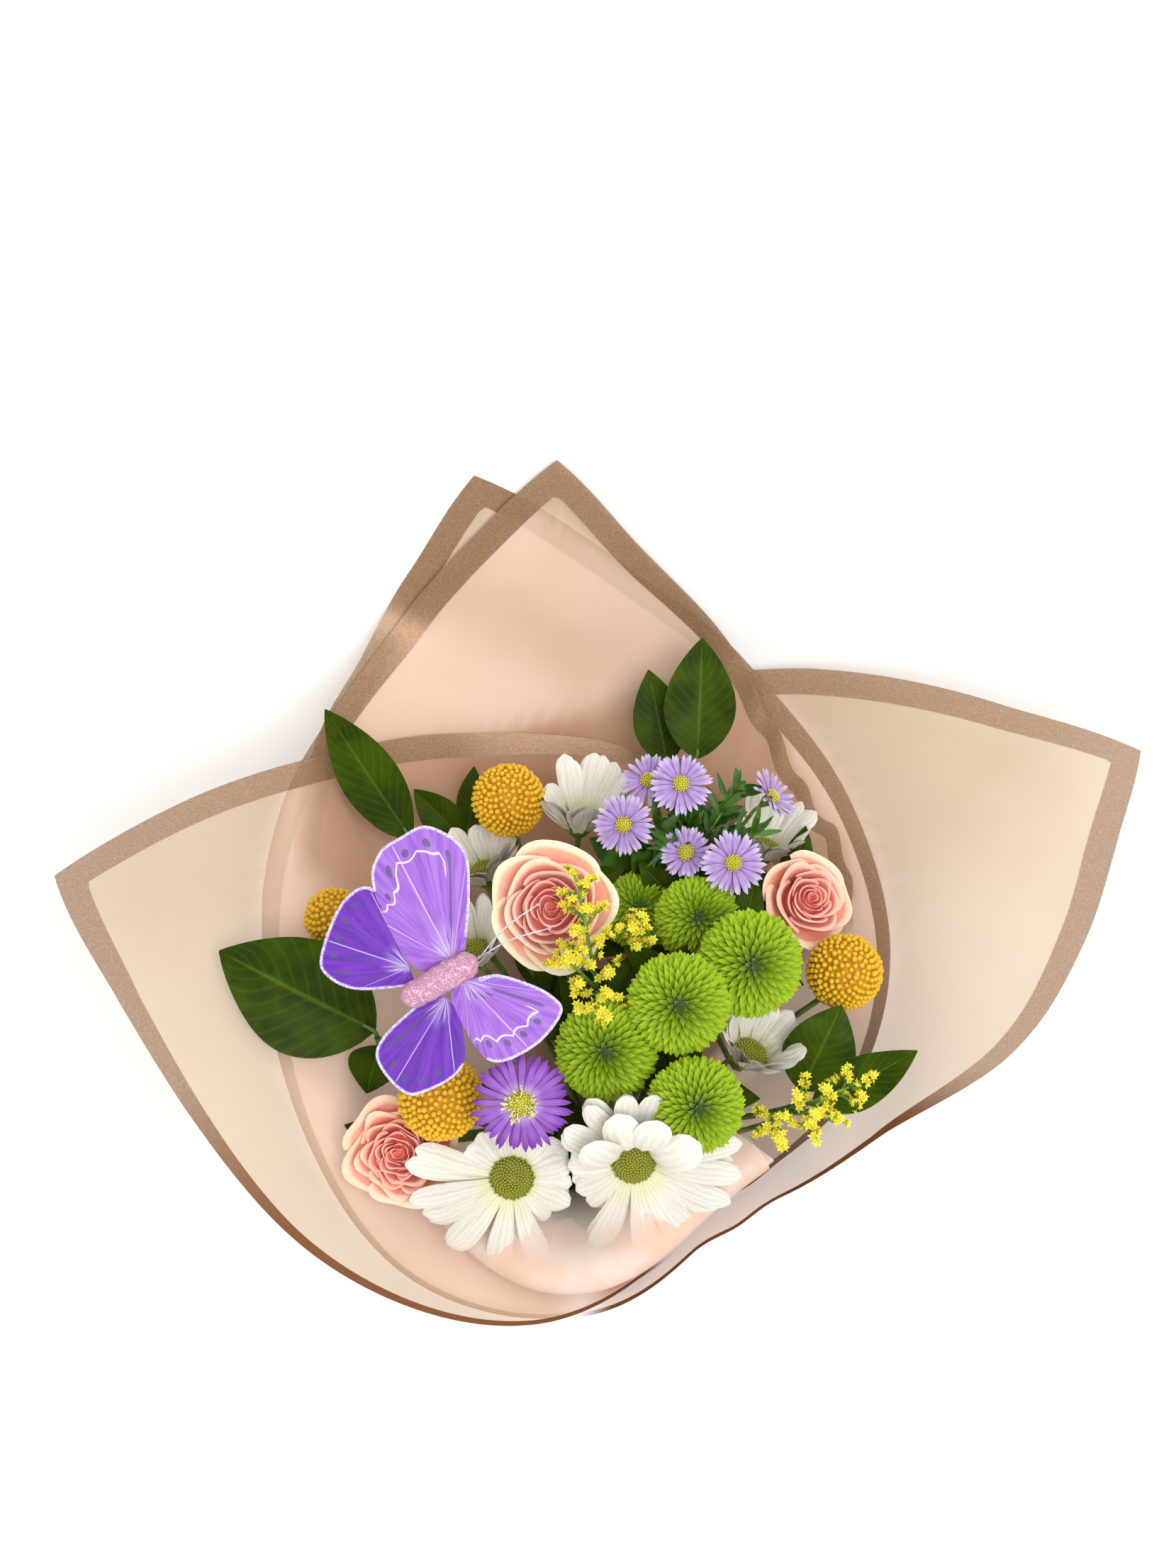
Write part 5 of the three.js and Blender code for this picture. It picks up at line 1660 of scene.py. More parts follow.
FORKS = {Spray.FRONT: (-14, -46, 118), Spray.BACK: (-26, 30, 106), Spray.RIGHT: (38, 44, 108)}

@dataclass(frozen=True)
class Daisy:
    """White daisy of one full ring of petals and a looser one under it.

    Attributes:
        shorter: turn, half width in degrees and share of the length, where other blooms stand over it.
        raised: turn, half width in degrees, added lift and added bend of petals that stand up.
    """

    name: str
    stand: Stand
    length: float
    count: int
    tilt: float
    spray: Spray
    shorter: list[Triple]
    seed: int
    raised: tuple[float, float, float, float] | None = None

    def disc(self) -> float:
        """Returns the radius of the disc."""
        return 8.5 if self.spray is Spray.FRONT else 7.0

    def share(self, turn: float) -> float:
        """Returns the share of its length that a petal keeps at a turn in radians."""
        least = 1.0
        for at, half, share in self.shorter:
            if abs((math.degrees(turn) - at + 900) % 360 - 180) < half:
                least = min(least, share)
        return least

    def ring(self, shape: Shape, count: int, phase: float, drop: float, grow: float, chance: Chance) -> None:
        """Adds one ring of petals.

        Args:
            shape: where they go.
            count: number of petals.
            phase: turn of the first.
            drop: height of their roots.
            grow: factor on their length.
            chance: source of small differences.
        """
        turns = phase + circle(count) + chance.uniform(-0.07, 0.07, count)
        start = self.disc() - 2.6 + min(2.4, 4.5 * max(0.0, self.tilt))
        full = self.length * (1.13 if self.spray is Spray.FRONT else 1.0)
        length = np.array([full * self.share(turn) for turn in turns]) * chance.uniform(0.93, 1.04, count)
        width = chance.uniform(0.26, 0.33, count) * self.length + (0.6 if self.tilt < 1 else 2.5)
        lift = self.tilt + 0.1 + chance.uniform(-0.09, 0.1, count)
        bend = chance.uniform(-0.5, -0.2, count)
        if self.spray is Spray.FRONT:
            low = np.clip(-np.sin(turns), 0, 1)
            bend, length = bend - 0.8 * low, length * (1 + 0.2 * low)
        if self.raised:
            at, half, more_lift, more_bend = self.raised
            near = np.abs((np.degrees(turns) - at + 900) % 360 - 180) < half
            lift, bend = lift + near * more_lift, bend + near * more_bend
            length = np.where(near, self.length * 0.86, length)
        grids = blades(self.stand, DAISY_PETAL, turns, start, length * grow, width, lift, bend, drop,
                       chance.uniform(-0.3, 0.3, count))
        add_blades(shape, grids, chance.uniform(0, 0.7, count))

    def dress(self) -> None:
        """Builds the petals with their finish."""
        chance = seeded(self.seed)
        shape = Shape()
        self.ring(shape, self.count + 4, 0.2, -0.2, 1.0, chance)
        self.ring(shape, self.count + 2, 0.43, -1.4, 0.97, chance)
        if self.raised:
            turns = np.radians(self.raised[0] + np.array([-58, -16, 18, 54]))
            grids = blades(self.stand, DAISY_PETAL, turns, self.disc() * 0.78, self.length * 0.9, 14, 1.55,
                           chance.uniform(-1.9, -1.3, 4), 0.6, chance.uniform(-0.3, 0.3, 4))
            add_blades(shape, grids, chance.uniform(0, 0.4, 4))
        make_piece(f"daisy_{self.name}_rays", shape, ["daisy"], [f"daisy_{self.name}_petals"])

    def green(self, shape: Shape) -> None:
        """Adds its disc, cup and twig to its spray."""
        radius = self.disc() * 0.93
        profile = [(CLOSED, 3.2), (radius * 0.5, 2.9), (radius * 0.8, 1.9), (radius, 0.2), (radius * 0.9, -1.0)]
        add_dome(shape, self.stand, profile, 20, 1)
        add_knobs(shape, disc_florets(self.stand, radius, 3.4, 3.1, 0.55), 0.3, 1)
        cup = [(CLOSED, -1.8), (5.0, -2.0), (5.6, -3.0), (3.4, -6.0), (1.4, -8.0), (CLOSED, -8.4)]
        add_dome(shape, self.stand, cup, 14)
        name = "spray_" + self.spray.value
        PLAN.twig(shape, name, PLAN.shoots[name].base[2] - 4, self.stand, 1.3)


@dataclass(frozen=True)
class ButtonMum:
    """Button chrysanthemum: a dome of short green scoops round a tight dark middle."""

    name: str
    stand: Stand
    radius: float
    seed: int
    count: int = 360
    full: float = 1.13

    def plan(self) -> None:
        """Plans its stem."""
        face = self.stand.axis()
        PLAN.shoot("mum_" + self.name, vec(self.stand.at) - face * 0.1 * self.radius, -face, 1.3,
                   self.radius * 1.5)

    def dress(self) -> None:
        """Builds the bloom and its stem with their finishes."""
        chance = seeded(self.seed)
        k = np.arange(self.count) + 0.5
        shares = np.sqrt(k / self.count)
        share = each(shares, self.count)
        turn = each(k * GOLDEN_TURN + chance.uniform(-0.05, 0.05, self.count), self.count)
        t, u = steps(7, 5)
        bloom = self.radius * self.full
        reach = bloom * (0.99 - 0.2 * np.exp(-((share / 0.22) ** 2)))
        reach = reach * each(chance.uniform(0.95, 1.03, self.count), self.count)
        polar = share * 0.62 * math.pi * (0.6 + 0.4 * t) + 0.02
        r = reach * (0.52 + 0.48 * t)
        half = bloom * (0.034 + 0.046 * np.minimum(share * 1.4, 1))
        half = half * np.interp(t, [0, 0.4, 0.7, 0.88, 1], [0.7, 0.95, 0.96, 0.66, 0.1])
        hollow = half * 0.75 * u**2
        side = half * u
        out_r = (r + hollow * 0.25) * np.sin(polar) - hollow * np.cos(polar) * 0.8
        high = ((r + hollow * 0.25) * np.cos(polar) + hollow * np.sin(polar) * 0.9) * 0.72
        cos, sin = np.cos(turn), np.sin(turn)
        grids = self.stand.offset(out_r * cos - side * sin, out_r * sin + side * cos, high)
        shape = Shape()
        tones = chance.uniform(0, 0.8, self.count) + 1.6 * np.exp(-((shares / 0.26) ** 2))
        add_blades(shape, grids, tones, shares)
        core = self.radius * 0.62
        profile = [(core * math.sin(a) + CLOSED, core * 0.72 * math.cos(a)) for a in np.linspace(0, 2.2, 9)]
        add_dome(shape, self.stand, profile + [(1.3, -core * 0.7)], at=(0.5, 0.0), marks=(0.9, 0.5, 0.0))
        PLAN.draw(shape, "mum_" + self.name, 1)
        stem_leaves(shape, "mum_" + self.name, [-12, -5, 3, 12], 30, 2, self.seed)
        make_piece(f"button_mum_{self.name}_bloom", shape, ["button", "stem", "leaf"],
                   [f"button_mum_{self.name}"])


@dataclass(frozen=True)
class Aster:
    """Small aster of two rings of narrow rays."""

    node: str
    stand: Stand
    length: float
    lift: float
    seed: int
    rays: int = 21
    start: float = 2.7
    width: float = 1.75
    finish: str = "aster"
    slot: Slot = Slot.ASTER

    def dress(self) -> None:
        """Builds the rays with their finish."""
        chance = seeded(self.seed)
        shape = Shape()
        for ring, drop in enumerate((0.0, -0.6)):
            count = self.rays
            turns = (np.arange(count) + 0.5 * ring) * 2 * math.pi / count + chance.uniform(-0.08, 0.08, count)
            grids = blades(
                self.stand, ASTER_RAY, turns, self.start, self.length * chance.uniform(0.86, 1.04, count),
                self.width * chance.uniform(0.85, 1.15, count),
                self.lift + 0.12 - 0.1 * ring + chance.uniform(-0.1, 0.12, count),
                chance.uniform(-0.5, -0.05, count), drop, chance.uniform(-0.4, 0.4, count))
            add_blades(shape, grids, chance.uniform(0, 1, count))
        make_piece(self.node + "_rays", shape, [self.finish], [self.node])

    def green(self, shape: Shape, radius: float, high: float) -> None:
        """Adds its disc of florets and its cup to a shape, in the second and the first material.

        Args:
            shape: where they go.
            radius: the disc's radius.
            high: its height.
        """
        add_knobs(shape, disc_florets(self.stand, radius, high, 4.2, 0.42), 0.3, 1)
        profile = [(CLOSED, high), (radius * 0.7, high * 0.6), (radius, -0.3), (radius * 0.8, -1.2)]
        add_dome(shape, self.stand, profile, 14, 1)
        cup = [(CLOSED, -1.2), (2.4, -1.5), (2.3, -3.2), (1.0, -6.2), (CLOSED, -6.4)]
        add_dome(shape, self.stand, cup, 10)


@dataclass(frozen=True)
class AsterSpray:
    """Leafy stem that carries the small lavender asters.

    Attributes:
        leaves: root and tip of each shoot of narrow leaves.
        broad: root, tip and width of each broad leaf.
    """

    asters: list[Aster]
    fork: Triple = (26, 62, 140)
    leaves: tuple = (
        ((32, 64, 186), (44, 76, 204)), ((30, 66, 182), (29, 73, 199)), ((33, 62, 190), (56, 62, 206)),
        ((28, 62, 184), (20, 60, 202)), ((34, 70, 184), (50, 88, 200)), ((18, 66, 184), (15, 68, 204)),
        ((26, 72, 184), (28, 82, 206)),
    )
    broad: tuple = (
        ((14, 62, 166), (-7, 62, 196), 15), ((18, 58, 168), (9, 54, 199), 14), ((12, 70, 164), (-4, 78, 190), 14),
        ((34, 66, 166), (46, 66, 198), 14), ((30, 58, 166), (38, 40, 192), 13),
    )

    def plan(self) -> None:
        """Plans the stem."""
        PLAN.shoot("aster", vec(self.fork), triple(0, 0, -1), 1.6, 8)

    def dress(self) -> None:
        """Builds the asters, and their stem with its twigs, discs, narrow leaves and broad leaves."""
        for aster in self.asters:
            aster.dress()
        shape = Shape()
        chance = seeded(8)
        PLAN.draw(shape, "aster")
        base = PLAN.shoots["aster"].base
        for i, aster in enumerate(self.asters):
            aster.green(shape, 3.1, 1.9)
            PLAN.twig(shape, "aster", base[2] - 6 - i * 4, aster.stand, 0.9)
        for root, tip in self.leaves:
            foot, end = vec(root), vec(tip)
            add_tube(shape, [base, foot, foot + (end - foot) * 0.8], [1.0, 0.8, 0.4], 0, 6)
            for _ in range(24):
                at = foot + (end - foot) * chance.uniform(-0.3, 0.95)
                way = unit(end - foot) + chance.normal(0, 0.55, 3)
                stem_leaf(shape, at, way, chance.uniform(9, 16), chance.uniform(2.0, 3.4), 2, chance.uniform(0, 1))
        for i, (root, tip, width) in enumerate(self.broad):
            broad_leaf(shape, vec(root), vec(tip), width, 0.15 + 0.15 * i, 2)
            add_tube(shape, [base, vec(root)], [1.0, 0.7], 0, 6)
        make_piece("aster_spray_green", shape, ["stem", "aster_disc", "herb"], ["aster_leafy_stem"])


@dataclass(frozen=True)
class VioletAster:
    """Large violet aster with a pale spidery middle."""

    flower: Aster

    def plan(self) -> None:
        """Plans its stem."""
        face = self.flower.stand.axis()
        PLAN.shoot("violet", vec(self.flower.stand.at) - face * 5, -face, 1.6, 14)

    def dress(self) -> None:
        """Builds the rays, the disc with its stamens, and the stem."""
        self.flower.dress()
        shape = Shape()
        chance = seeded(31)
        stand = self.flower.stand
        self.flower.green(shape, 4.6, 2.2)
        axes = stand.axes()
        for _ in range(90):
            turn, r = chance.uniform(0, 2 * math.pi), 5.0 * math.sqrt(chance.uniform(0, 1))
            out = triple(math.cos(turn), math.sin(turn), 0)
            foot = out * r + triple(0, 0, 1.2)
            tip = foot + out * chance.uniform(0.4, 2.4) + triple(0, 0, chance.uniform(1.6, 3.0))
            middle = (foot + tip) / 2 + triple(0, 0, 0.6)
            path = [vec(stand.at) + p @ axes for p in (foot, middle, tip)]
            add_tube(shape, path, [0.22, 0.18, 0.32], 2, 5, 1)
        PLAN.draw(shape, "violet")
        make_piece("violet_aster_green", shape, ["stem", "aster_disc", "stamen"], ["violet_aster_stem"])


def add_floret(shape: Shape, at: Array, face: Array, chance: Chance) -> None:
    """Adds one tiny floret.

    Args:
        shape: where it goes.
        at: its middle.
        face: the direction that it faces.
        chance: source of small differences.
    """
    stand = Stand(tuple(at), tuple(face), tuple(unit(np.cross(face, triple(0.3, 1, 0.2)))))
    turns = circle(6) + chance.uniform(0, 1)
    grids = blades(stand, FLORET_RAY, turns, 0.2, chance.uniform(1.5, 2.2, 6), 1.15, 0.6, -0.4)
    add_blades(shape, grids, chance.uniform(0, 1, 6))
    add_knobs(shape, knobs(at[None], face[None], 0.55, 0.9), 0.4)


@dataclass(frozen=True)
class Sprig:
    """Solidago sprig: short arms beaded with tiny yellow florets.

    Attributes:
        arms: a third of the number of its arms.
        arm: length of the longest arm.
        side_tips: ends of its smaller branches.
    """

    name: str
    foot: Triple
    tip: Triple
    arms: int
    arm: float
    seed: int
    side_tips: tuple = ()

    def plan(self) -> None:
        """Plans its stem."""
        foot = vec(self.foot)
        down = foot - vec(self.tip)
        down[2] = -60
        PLAN.shoot("sprig_" + self.name, foot, down, 1.1, 10)

    def dress(self) -> None:
        """Builds the sprig with its finishes."""
        chance = seeded(self.seed)
        shape = Shape()
        PLAN.draw(shape, "sprig_" + self.name, 1)
        self.branch(shape, vec(self.tip), self.arms, chance)
        for tip in self.side_tips:
            self.branch(shape, vec(tip), 2, chance)
        make_piece(f"solidago_{self.name}_florets", shape, ["sprig", "calyx"],
                   [f"solidago_{self.name}_sprig"])

    def branch(self, shape: Shape, tip: Array, arms: int, chance: Chance) -> None:
        """Adds one beaded branch from the sprig's foot to a tip.

        Args:
            shape: where it goes.
            tip: its end.
            arms: a third of the number of its arms.
            chance: source of small differences.
        """
        foot = vec(self.foot)
        along = unit(tip - foot)
        add_tube(shape, [foot, tip], [0.9, 0.5], 1, 6)
        spots = [(tip, along)]
        for i in range(arms * 3):
            turn = i * 2.4
            root = foot + (tip - foot) * (i / 3 + 0.4) / arms
            reach = self.arm * (1.1 - 0.23 * i / arms) * chance.uniform(0.8, 1.05)
            out = square(triple(math.cos(turn), math.sin(turn), 0), along)
            end = root + out * reach * 0.8 + along * reach * 0.6
            bow = (root + end) / 2 + along * 1.2
            add_tube(shape, [root, bow, end], [0.6, 0.45, 0.3], 1, 5, 1)
            for j in range(9):
                at = root + (end - root) * (0.25 + 0.75 * j / 8)
                side = unit(out * 0.4 + along + chance.normal(0, 0.6, 3))
                bud = at + side * chance.uniform(1.0, 2.4)
                add_tube(shape, [at, bud], [0.25, 0.25], 1, 4, 0)
                spots.append((bud, side))
        for at, face in spots:
            add_floret(shape, at, face, chance)


@dataclass(frozen=True)
class Foliage:
    """Stem with broad waxy leaves, each given by root, tip and width."""

    name: str
    leaves: list[tuple[Triple, Triple, float]]

    def plan(self) -> None:
        """Plans its stem."""
        top = (vec(self.leaves[0][0]) + vec(self.leaves[1][0])) / 2
        PLAN.shoot("leaf_" + self.name, top, triple(-top[0] * 0.5, -top[1] * 0.5, -top[2]), 1.3, 20)

    def dress(self) -> None:
        """Builds the leaves and the stem with their finishes."""
        shape = Shape()
        PLAN.draw(shape, "leaf_" + self.name, 1)
        for i, (root, tip, width) in enumerate(self.leaves):
            foot, end = vec(root), vec(tip)
            broad_leaf(shape, foot, end, width, 0.2 + 0.5 * i)
            stalk = [PLAN.shoots["leaf_" + self.name].top, foot, foot + (end - foot) * 0.08]
            add_tube(shape, stalk, [1.0, 0.9, 0.7], 1, 7)
        make_piece(f"foliage_{self.name}_leaves", shape, ["leaf", "stem"], [f"foliage_{self.name}_stem"])


# Butterfly


@dataclass(frozen=True)
class Butterfly:
    """Painted feather butterfly on a wire pick.

    Outlines are in millimetres about its body, in the plane that faces the viewer. Each pair of wings
    lists its light front wing first and its deep hind wing second. The open ranges give the first and
    last outline point of each free edge, where the glitter runs. `parts` is the number of points drawn
    for each point of an outline.
    """

    at: Triple = (-61, -12, 236)
    upper: tuple = (
        ((8, 12.5), (9.5, 31.5), (7.5, 47), (-5, 55), (-15, 51), (-22.5, 45), (-24, 33), (-12, 8), (-1, 3.5)),
        ((-14, 12), (-24, 33), (-35, 28.5), (-42.5, 10), (-40, 2.5), (-29.5, -2), (-9, -0.5)),
    )
    lower: tuple = (
        ((12, 1), (18, 3.5), (28, 1), (37.5, -3.5), (41.5, -10), (31.5, -22), (16, -26.5), (4, -8), (2.8, 2)),
        ((6, -9), (7, -28.5), (-7, -38), (-15, -37), (-23, -26.5), (-20.5, -18), (-9, -7), (-3.5, -0.9)),
    )
    open_upper: tuple = ((0, 6), (1, 6))
    open_lower: tuple = ((0, 6), (1, 7))
    tail: tuple[float, float] = (-13.5, -5.5)
    head: tuple[float, float] = (12.0, 9.0)
    antennae: tuple = ((33, 28), (37, 20))
    pick_radius: float = 0.6
    parts: int = 12

    def plan(self) -> None:
        """Plans the pick."""
        PLAN.shoot("pick", vec(self.at) - unit(vec(TOWARDS_VIEWER)) * 6, triple(0.25, 0, -1), self.pick_radius, 20)

    def stand(self) -> Stand:
        """Returns the plane of the wings."""
        face = unit(vec(TOWARDS_VIEWER))
        return Stand(self.at, tuple(face), tuple(np.cross(face, triple(1, 0, 0))))

    @staticmethod
    def smooth(outline: tuple, count: int) -> Array:
        """Returns points of a smooth open curve through the outline."""
        points = vec(outline)
        padded = np.concatenate([[2 * points[0] - points[1]], points, [2 * points[-1] - points[-2]]])
        curve = []
        for i in range(len(points) - 1):
            a, b, c, d = padded[i : i + 4]
            t = np.linspace(0, 1, count, endpoint=False)[:, None]
            curve.append(0.5 * (2 * b + (c - a) * t + (2 * a - 5 * b + 4 * c - d) * t**2
                                + (3 * b - a - 3 * c + d) * t**3))
        return np.concatenate([*curve, points[-1:]])

    def wing(self, outline: tuple, free: tuple, lift: float, deep: float) -> tuple[Array, Array, Array, tuple]:
        """Returns one wing's grid, surface coordinates and marks.

        Args:
            outline: its outline.
            free: first and last outline point of its free edge.
            lift: its height above the plane.
            deep: 1 for a deep violet wing, 0 for a light one.
        """
        rim = self.smooth(outline, self.parts)
        root = (rim[0] + rim[-1]) / 2
        out = np.linspace(0.02, 1, 22)[:, None]
        flat = root + (rim - root)[None] * out[:, :, None]
        step = np.linalg.norm(np.diff(rim, axis=0, prepend=rim[:1]), axis=1).cumsum()
        around = (step / step[-1])[None]
        gap = np.linalg.norm(flat[:, :, None] - rim[None, None], axis=3)
        first, last = free[0] * self.parts + 3 * (free[0] == 0), free[1] * self.parts + 1
        edge = gap[:, :, first:last].min(2) / 20
        z = lift + 1.1 * np.sin(out * math.pi * 0.8) + 0.22 * np.sin(around * 44) * np.sin(out * math.pi)
        local = np.concatenate([flat, np.broadcast_to(z[..., None], flat.shape[:2] + (1,))], 2)
        return self.stand().place(local), around, out, (deep, edge, out)

    def dress(self) -> None:
        """Builds wings, body, feelers and pick with their finishes."""
        wings = (("upper", self.upper, self.open_upper, 0.3), ("lower", self.lower, self.open_lower, 0.1))
        for name, outlines, free, lift in wings:
            shape = Shape()
            for i, outline in enumerate(outlines):
                grid, around, out, marks = self.wing(outline, free[i], lift - 0.5 * i, float(i))
                shape.add(grid, around, out, marks)
            make_piece(f"butterfly_{name}_feathers", shape, ["wing"], [f"butterfly_{name}_wings"])
        stand = self.stand()
        tail, head = triple(*self.tail, 4), triple(*self.head, 4)
        shares = np.linspace(0, 1, 30)
        knots = [0, 0.06, 0.15, 0.35, 0.7, 0.8, 0.86, 0.93, 1]
        radii = np.interp(shares, knots, [1.6, 3.9, 4.7, 5.0, 5.1, 4.7, 4.9, 4.2, 1.6])
        body = Shape()
        path = [stand.offset(*(tail + (head - tail) * s)) for s in shares]
        grid = tube(path, list(radii), 22, 0)
        chance = seeded(5)
        centre = np.array([path[0], *path, path[-1]])[:, None]
        grid = centre + (grid - centre) * (1 + chance.uniform(-0.07, 0.07, grid.shape[:2]))[..., None]
        body.add(grid, np.arange(22) / 22, np.linspace(0, 1, len(grid))[:, None], closed=True)
        make_piece("butterfly_glitter_body", body, ["glitter"], ["butterfly_body"])
        wire = Shape()
        chin = head + unit(head - tail) * 1.3
        for x, y in self.antennae:
            middle = (chin + triple(x, y, 9)) / 2 + triple(-1.5, 1.5, 1.0)
            add_tube(wire, [stand.offset(*p) for p in (chin, middle, triple(x, y, 9))], [0.32, 0.28, 0.24], 0, 6)
            tip = stand.offset(x, y, 9)
            add_tube(wire, [tip, tip + (tip - stand.offset(*middle)) * 0.06], [0.5, 0.3], 0, 6, 0)
        foot = PLAN.shoots["pick"].top
        add_tube(wire, [stand.offset(*chin), stand.offset(*(chin - triple(0, 0, 5.6))), foot],
                 [self.pick_radius * 0.8] * 3, 0, 6, 1)
        PLAN.draw(wire, "pick")
        make_piece("butterfly_pick_wire", wire, ["wire"], ["butterfly_wire"])


# Studio


@dataclass(frozen=True)
class Studio:
    """Pale floor, soft light and the camera at the photograph's viewing angle."""

    eye: Triple = (0.00929, -0.48898, 0.701)
    look: Triple = (0, 0.530, -0.848)
    lens: float = 42.0
    floor: str = "f8f6f3"
    floor_pale: str = "fbfaf8"
    world: float = 0.8

    def camera(self) -> None:
        """Sets the camera."""
        data = bpy.data.cameras.new("Camera")
        data.lens = self.lens
        data.clip_start = 0.01
        camera = put("Camera", data)
        look, right = unit(vec(self.look)), triple(-1, 0, 0)
        self.aim(camera, self.eye, right, np.cross(right, look), -look)
        bpy.context.scene.camera = camera

    @staticmethod
    def aim(thing: bpy.types.Object, place: Triple, *axes: Array) -> None:
        """Puts an object at a place and turns its own axes to the given ones."""
        for row in range(3):
            for column, axis in enumerate(axes):
                thing.matrix_world[row][column] = float(axis[row])
        thing.location = place

    def lights(self) -> None:
        """Sets a large soft key light, a weak fill and a pale surround."""
        for name, place, size, power in (
            ("Key", (-0.4, -0.8, 1.4), 0.9, 15.0),
            ("Fill", (0.9, 0.3, 1.1), 1.2, 3.0),
        ):
            data = bpy.data.lights.new(name, "AREA")
            data.size, data.energy = size, power
            way = unit(-vec(place) + triple(0, 0, 0.1))
            side = unit(np.cross(way, triple(0, 0, 1)))
            self.aim(put(name, data), place, side, np.cross(side, way), -way)
        world = bpy.data.worlds.new("Studio")
        world.use_nodes = True
        world.node_tree.nodes["Background"].inputs[0].default_value = (1.0, 0.99, 0.975, 1.0)
        world.node_tree.nodes["Background"].inputs[1].default_value = self.world
        bpy.context.scene.world = world
        bpy.context.scene.view_settings.view_transform = "Standard"

    def ground(self) -> None:
        """Lays the floor."""
        mesh = bpy.data.meshes.new("Floor")
        size = 4.0
        mesh.from_pydata([(-size, -size, 0), (size, -size, 0), (size, size, 0), (-size, size, 0)], [], [(0, 1, 2, 3)])
        floor = put("Floor", mesh)
        finish = Material("Floor", Roughness=0.8)
        patch, _ = finish.effect("mottle", Low=self.floor, High=self.floor_pale, Scale=3.0)
        mesh.materials.append(finish.feed(Base_Color=patch))

    def build(self) -> None:
        """Sets up camera, lights and floor."""
        self.camera()
        self.lights()
        self.ground()


ROSES = [
    Rose("centre", Stand((-23, 35, 195), (-0.05, -0.38, 0.92)), 24, 20, "rose", 3, 0.8),
    Rose("right", Stand((71, 48, 170), (0.3, -0.25, 0.92)), 17.5, 18, "rose_pink", 7, 0.7),
    Rose("left", Stand((-79, -47, 158), (-0.1, -0.4, 0.9)), 20, 16, "rose_pink", 12, 1.2, (
        (3, 0.06, 0.97, 3.0), (4, 0.16, 1.0, 2.4), (4, 0.26, 0.98, 2.2), (5, 0.37, 0.96, 1.9),
        (5, 0.49, 0.94, 1.9), (6, 0.62, 0.88, 1.6), (6, 0.78, 0.78, 1.5), (5, 1.0, 0.6, 1.75),
    )),
]
BALLS = [
    Ball("back_left", (-42, 86, 186), 14.5),
    Ball("right", (88, 17, 176), 14.5),
    Ball("left", (-64, -38, 190), 15.5),
    Ball("far_left", (-109, 38, 180), 11.0),
]
DAISIES = [
    Daisy("front_left", Stand((-38, -64, 178), (0, -0.56, 0.83)), 30, 12, -0.02, Spray.FRONT,
          [(100, 62, 0.42), (350, 55, 0.5)], 21),
    Daisy("front_right", Stand((6, -60, 184), (0.06, -0.66, 0.75)), 31, 12, 0.04, Spray.FRONT,
          [(90, 75, 0.5), (190, 58, 0.5)], 22, (92, 70, 0.5, -0.3)),
    Daisy("back_left", Stand((-14, 80, 180), (0.05, 0.5, 0.86)), 25, 7, 1.0, Spray.BACK,
          [(180, 40, 0.6), (330, 35, 0.7)], 23),
    Daisy("left", Stand((-52, 64, 166), (-0.3, 0.45, 0.84)), 20, 8, 1.0, Spray.BACK, [(60, 50, 0.8)], 24),
    Daisy("inner_left", Stand((-55, 26, 172), (-0.35, 0.25, 0.9)), 20, 8, 1.0, Spray.BACK, [], 25),
    Daisy("right", Stand((60, 74, 167), (0.15, 0.5, 0.85)), 21, 8, 1.0, Spray.RIGHT,
          [(180, 50, 0.5), (300, 60, 0.8)], 26),
    Daisy("low_right", Stand((51, -14, 170), (0.35, 0.3, 0.89)), 18, 8, 1.05, Spray.RIGHT, [], 27),
]
MUMS = [
    ButtonMum("back", Stand((9, 41, 180), (0, -0.1, 1)), 14, 41),
    ButtonMum("back_right", Stand((31, 31, 194), (0.05, -0.3, 0.95)), 15, 42),
    ButtonMum("right", Stand((49, 8, 206), (0.15, -0.45, 0.88)), 18, 43),
    ButtonMum("middle", Stand((22, -10, 212), (0, -0.5, 0.87)), 17, 44),
    ButtonMum("left", Stand((-4, -23, 199), (-0.1, -0.5, 0.86)), 17, 45),
    ButtonMum("front", Stand((28, -44, 200), (0.1, -0.55, 0.83)), 16, 46),
]
ASTERS = AsterSpray([
    Aster(f"aster_petals_{i}", Stand(at, face), length, lift, 50 + i)
    for i, (at, face, length, lift) in enumerate((
        ((25, 79, 213), (0, -0.3, 0.95), 10, 0.0),
        ((13, 86, 203), (-0.3, 0, 0.95), 9.5, 0.1),
        ((3, 64, 208), (-0.15, -0.45, 0.88), 9.5, 0.1),
        ((44, 47, 210), (0.05, -0.35, 0.93), 10, 0.05),
        ((27, 56, 200), (-0.2, -0.2, 0.95), 8, 0.3),
        ((62, 84, 193), (0.7, 0.3, 0.64), 9.5, 0.35),
    ), 1)
])
VIOLET = VioletAster(Aster("violet_aster_petals", Stand((-34, -48, 214), (-0.05, -0.5, 0.86)), 14.2, 0.0, 57, 25,
                           4.0, 2.3, "violet", Slot.VIOLET))
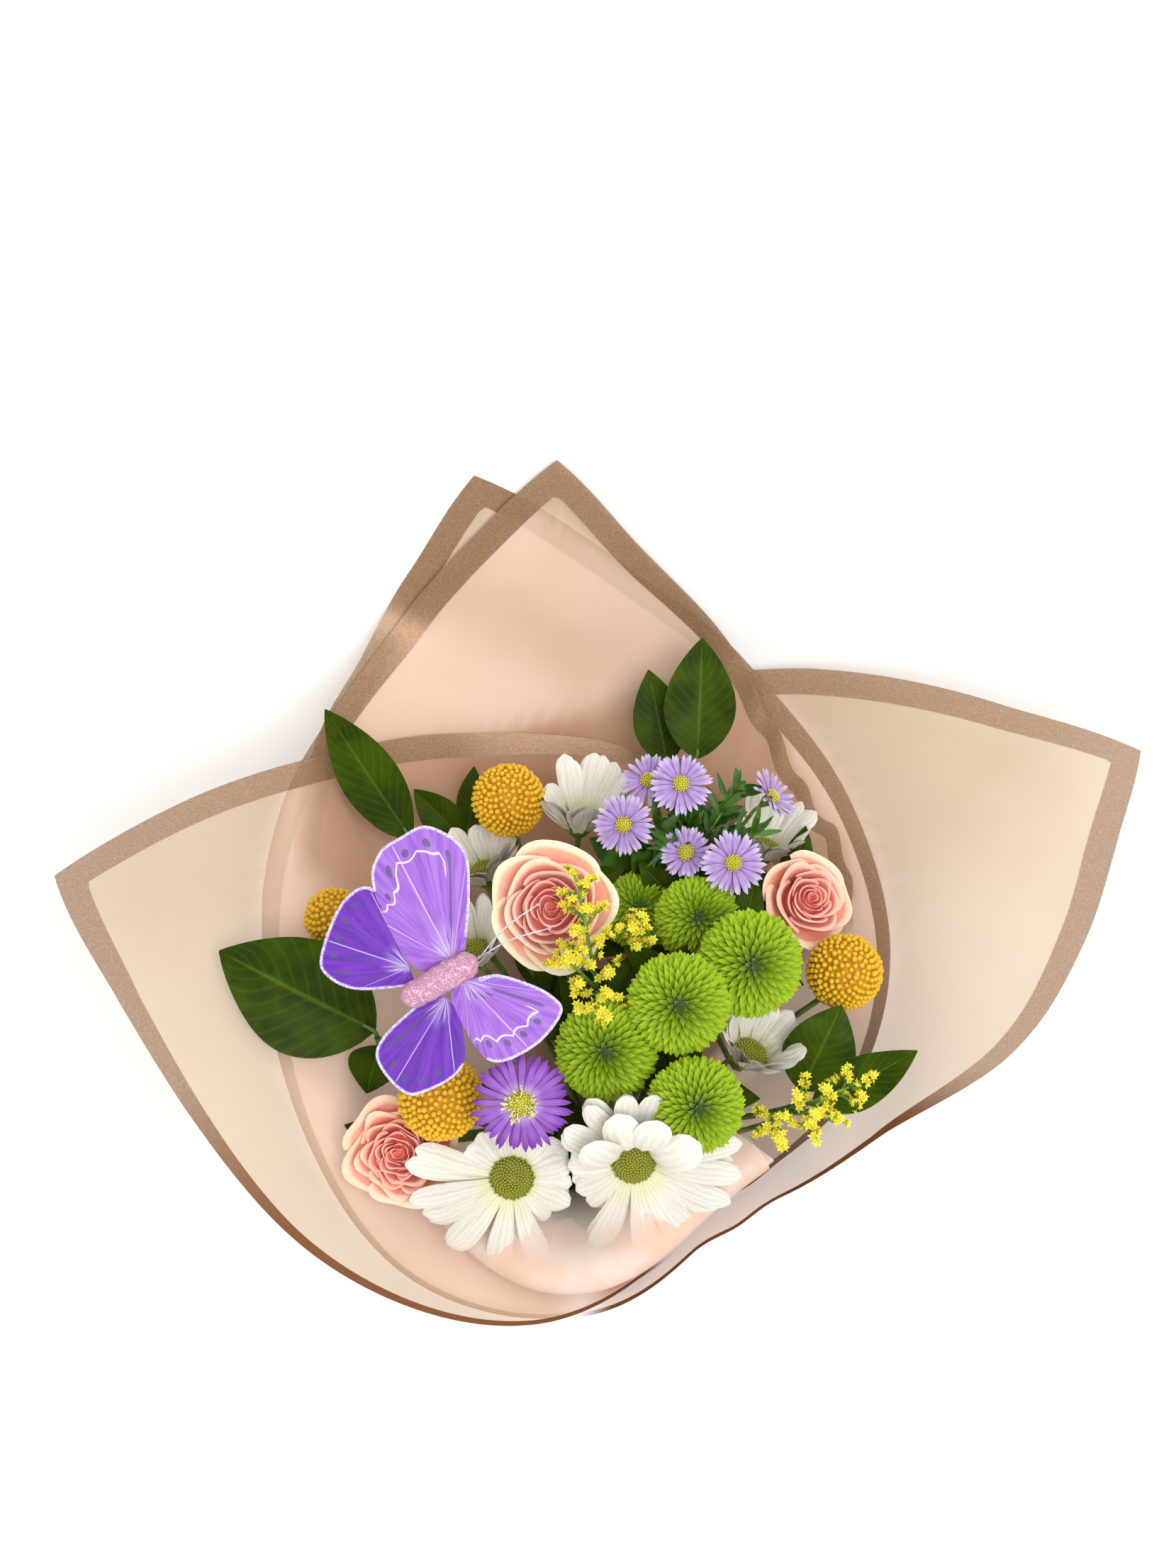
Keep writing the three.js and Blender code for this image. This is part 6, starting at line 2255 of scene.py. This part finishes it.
SPRIGS = [
    Sprig("middle", (-7, 0, 200), (-14, 25, 238), 5, 14, 61, ((-18, 0, 230), (-8, -14, 220))),
    Sprig("right", (62, -40, 178), (86, -36, 200), 3, 13, 62, ((56, -50, 192), (74, -46, 198))),
    Sprig("small", (6, 14, 200), (7, 20, 216), 3, 8, 63),
]
FOLIAGE = [
    Foliage("back_left", [((-82, 78, 168), (-119, 126, 192), 24), ((-82, 82, 160), (-112, 110, 177), 17)]),
    Foliage("back_middle", [((-60, 88, 152), (-58, 115, 163), 12), ((-62, 86, 150), (-82, 101, 166), 16)]),
    Foliage("back_right", [((35, 118, 162), (37, 157, 194), 30), ((23, 120, 154), (15, 150, 180), 22)]),
    Foliage("left", [((-92, -4, 168), (-149, 15, 197), 45), ((-92, -4, 152), (-95, -24, 158), 20)]),
    Foliage("right", [((70, -26, 163), (85, -2, 186), 28), ((76, -28, 150), (112, -18, 178), 20)]),
]
BUTTERFLY = Butterfly()


def daisy_sprays() -> None:
    """Builds the forked stems with the discs that they carry."""
    for spray in Spray:
        shape = Shape()
        PLAN.draw(shape, "spray_" + spray.value)
        for daisy in DAISIES:
            if daisy.spray is spray:
                daisy.green(shape)
        stem_leaves(shape, "spray_" + spray.value, [-14, -8, -2, 4, 10, 16], 32, 2, len(spray.value))
        make_piece(f"daisy_{spray.value}_green", shape, ["stem", "disc", "leaf"], [f"daisy_{spray.value}_spray"])


def plan_stems() -> None:
    """Plans every stem in the order in which they settle."""
    for planned in (*ROSES, *BALLS, *MUMS):
        planned.plan()
    for spray, fork in FORKS.items():
        PLAN.shoot("spray_" + spray.value, vec(fork), triple(0, 0, -1), 1.7, 6)
    for planned in (ASTERS, VIOLET, *SPRIGS, *FOLIAGE, BUTTERFLY):
        planned.plan()
    PLAN.settle()


def main() -> None:
    """Builds the whole scene in order."""
    Studio().build()
    plan_stems()
    for sheet in SHEETS:
        sheet.dress(SHEETS)
    Liner().dress()
    Ribbon().dress()
    for bloom in (*ROSES, *BALLS, *DAISIES):
        bloom.dress()
    daisy_sprays()
    for bloom in (*MUMS, ASTERS, VIOLET, *SPRIGS, *FOLIAGE, BUTTERFLY):
        bloom.dress()


if __name__ == "__main__":
    logging.basicConfig(level=logging.INFO, format="%(name)s: %(message)s")
    main()
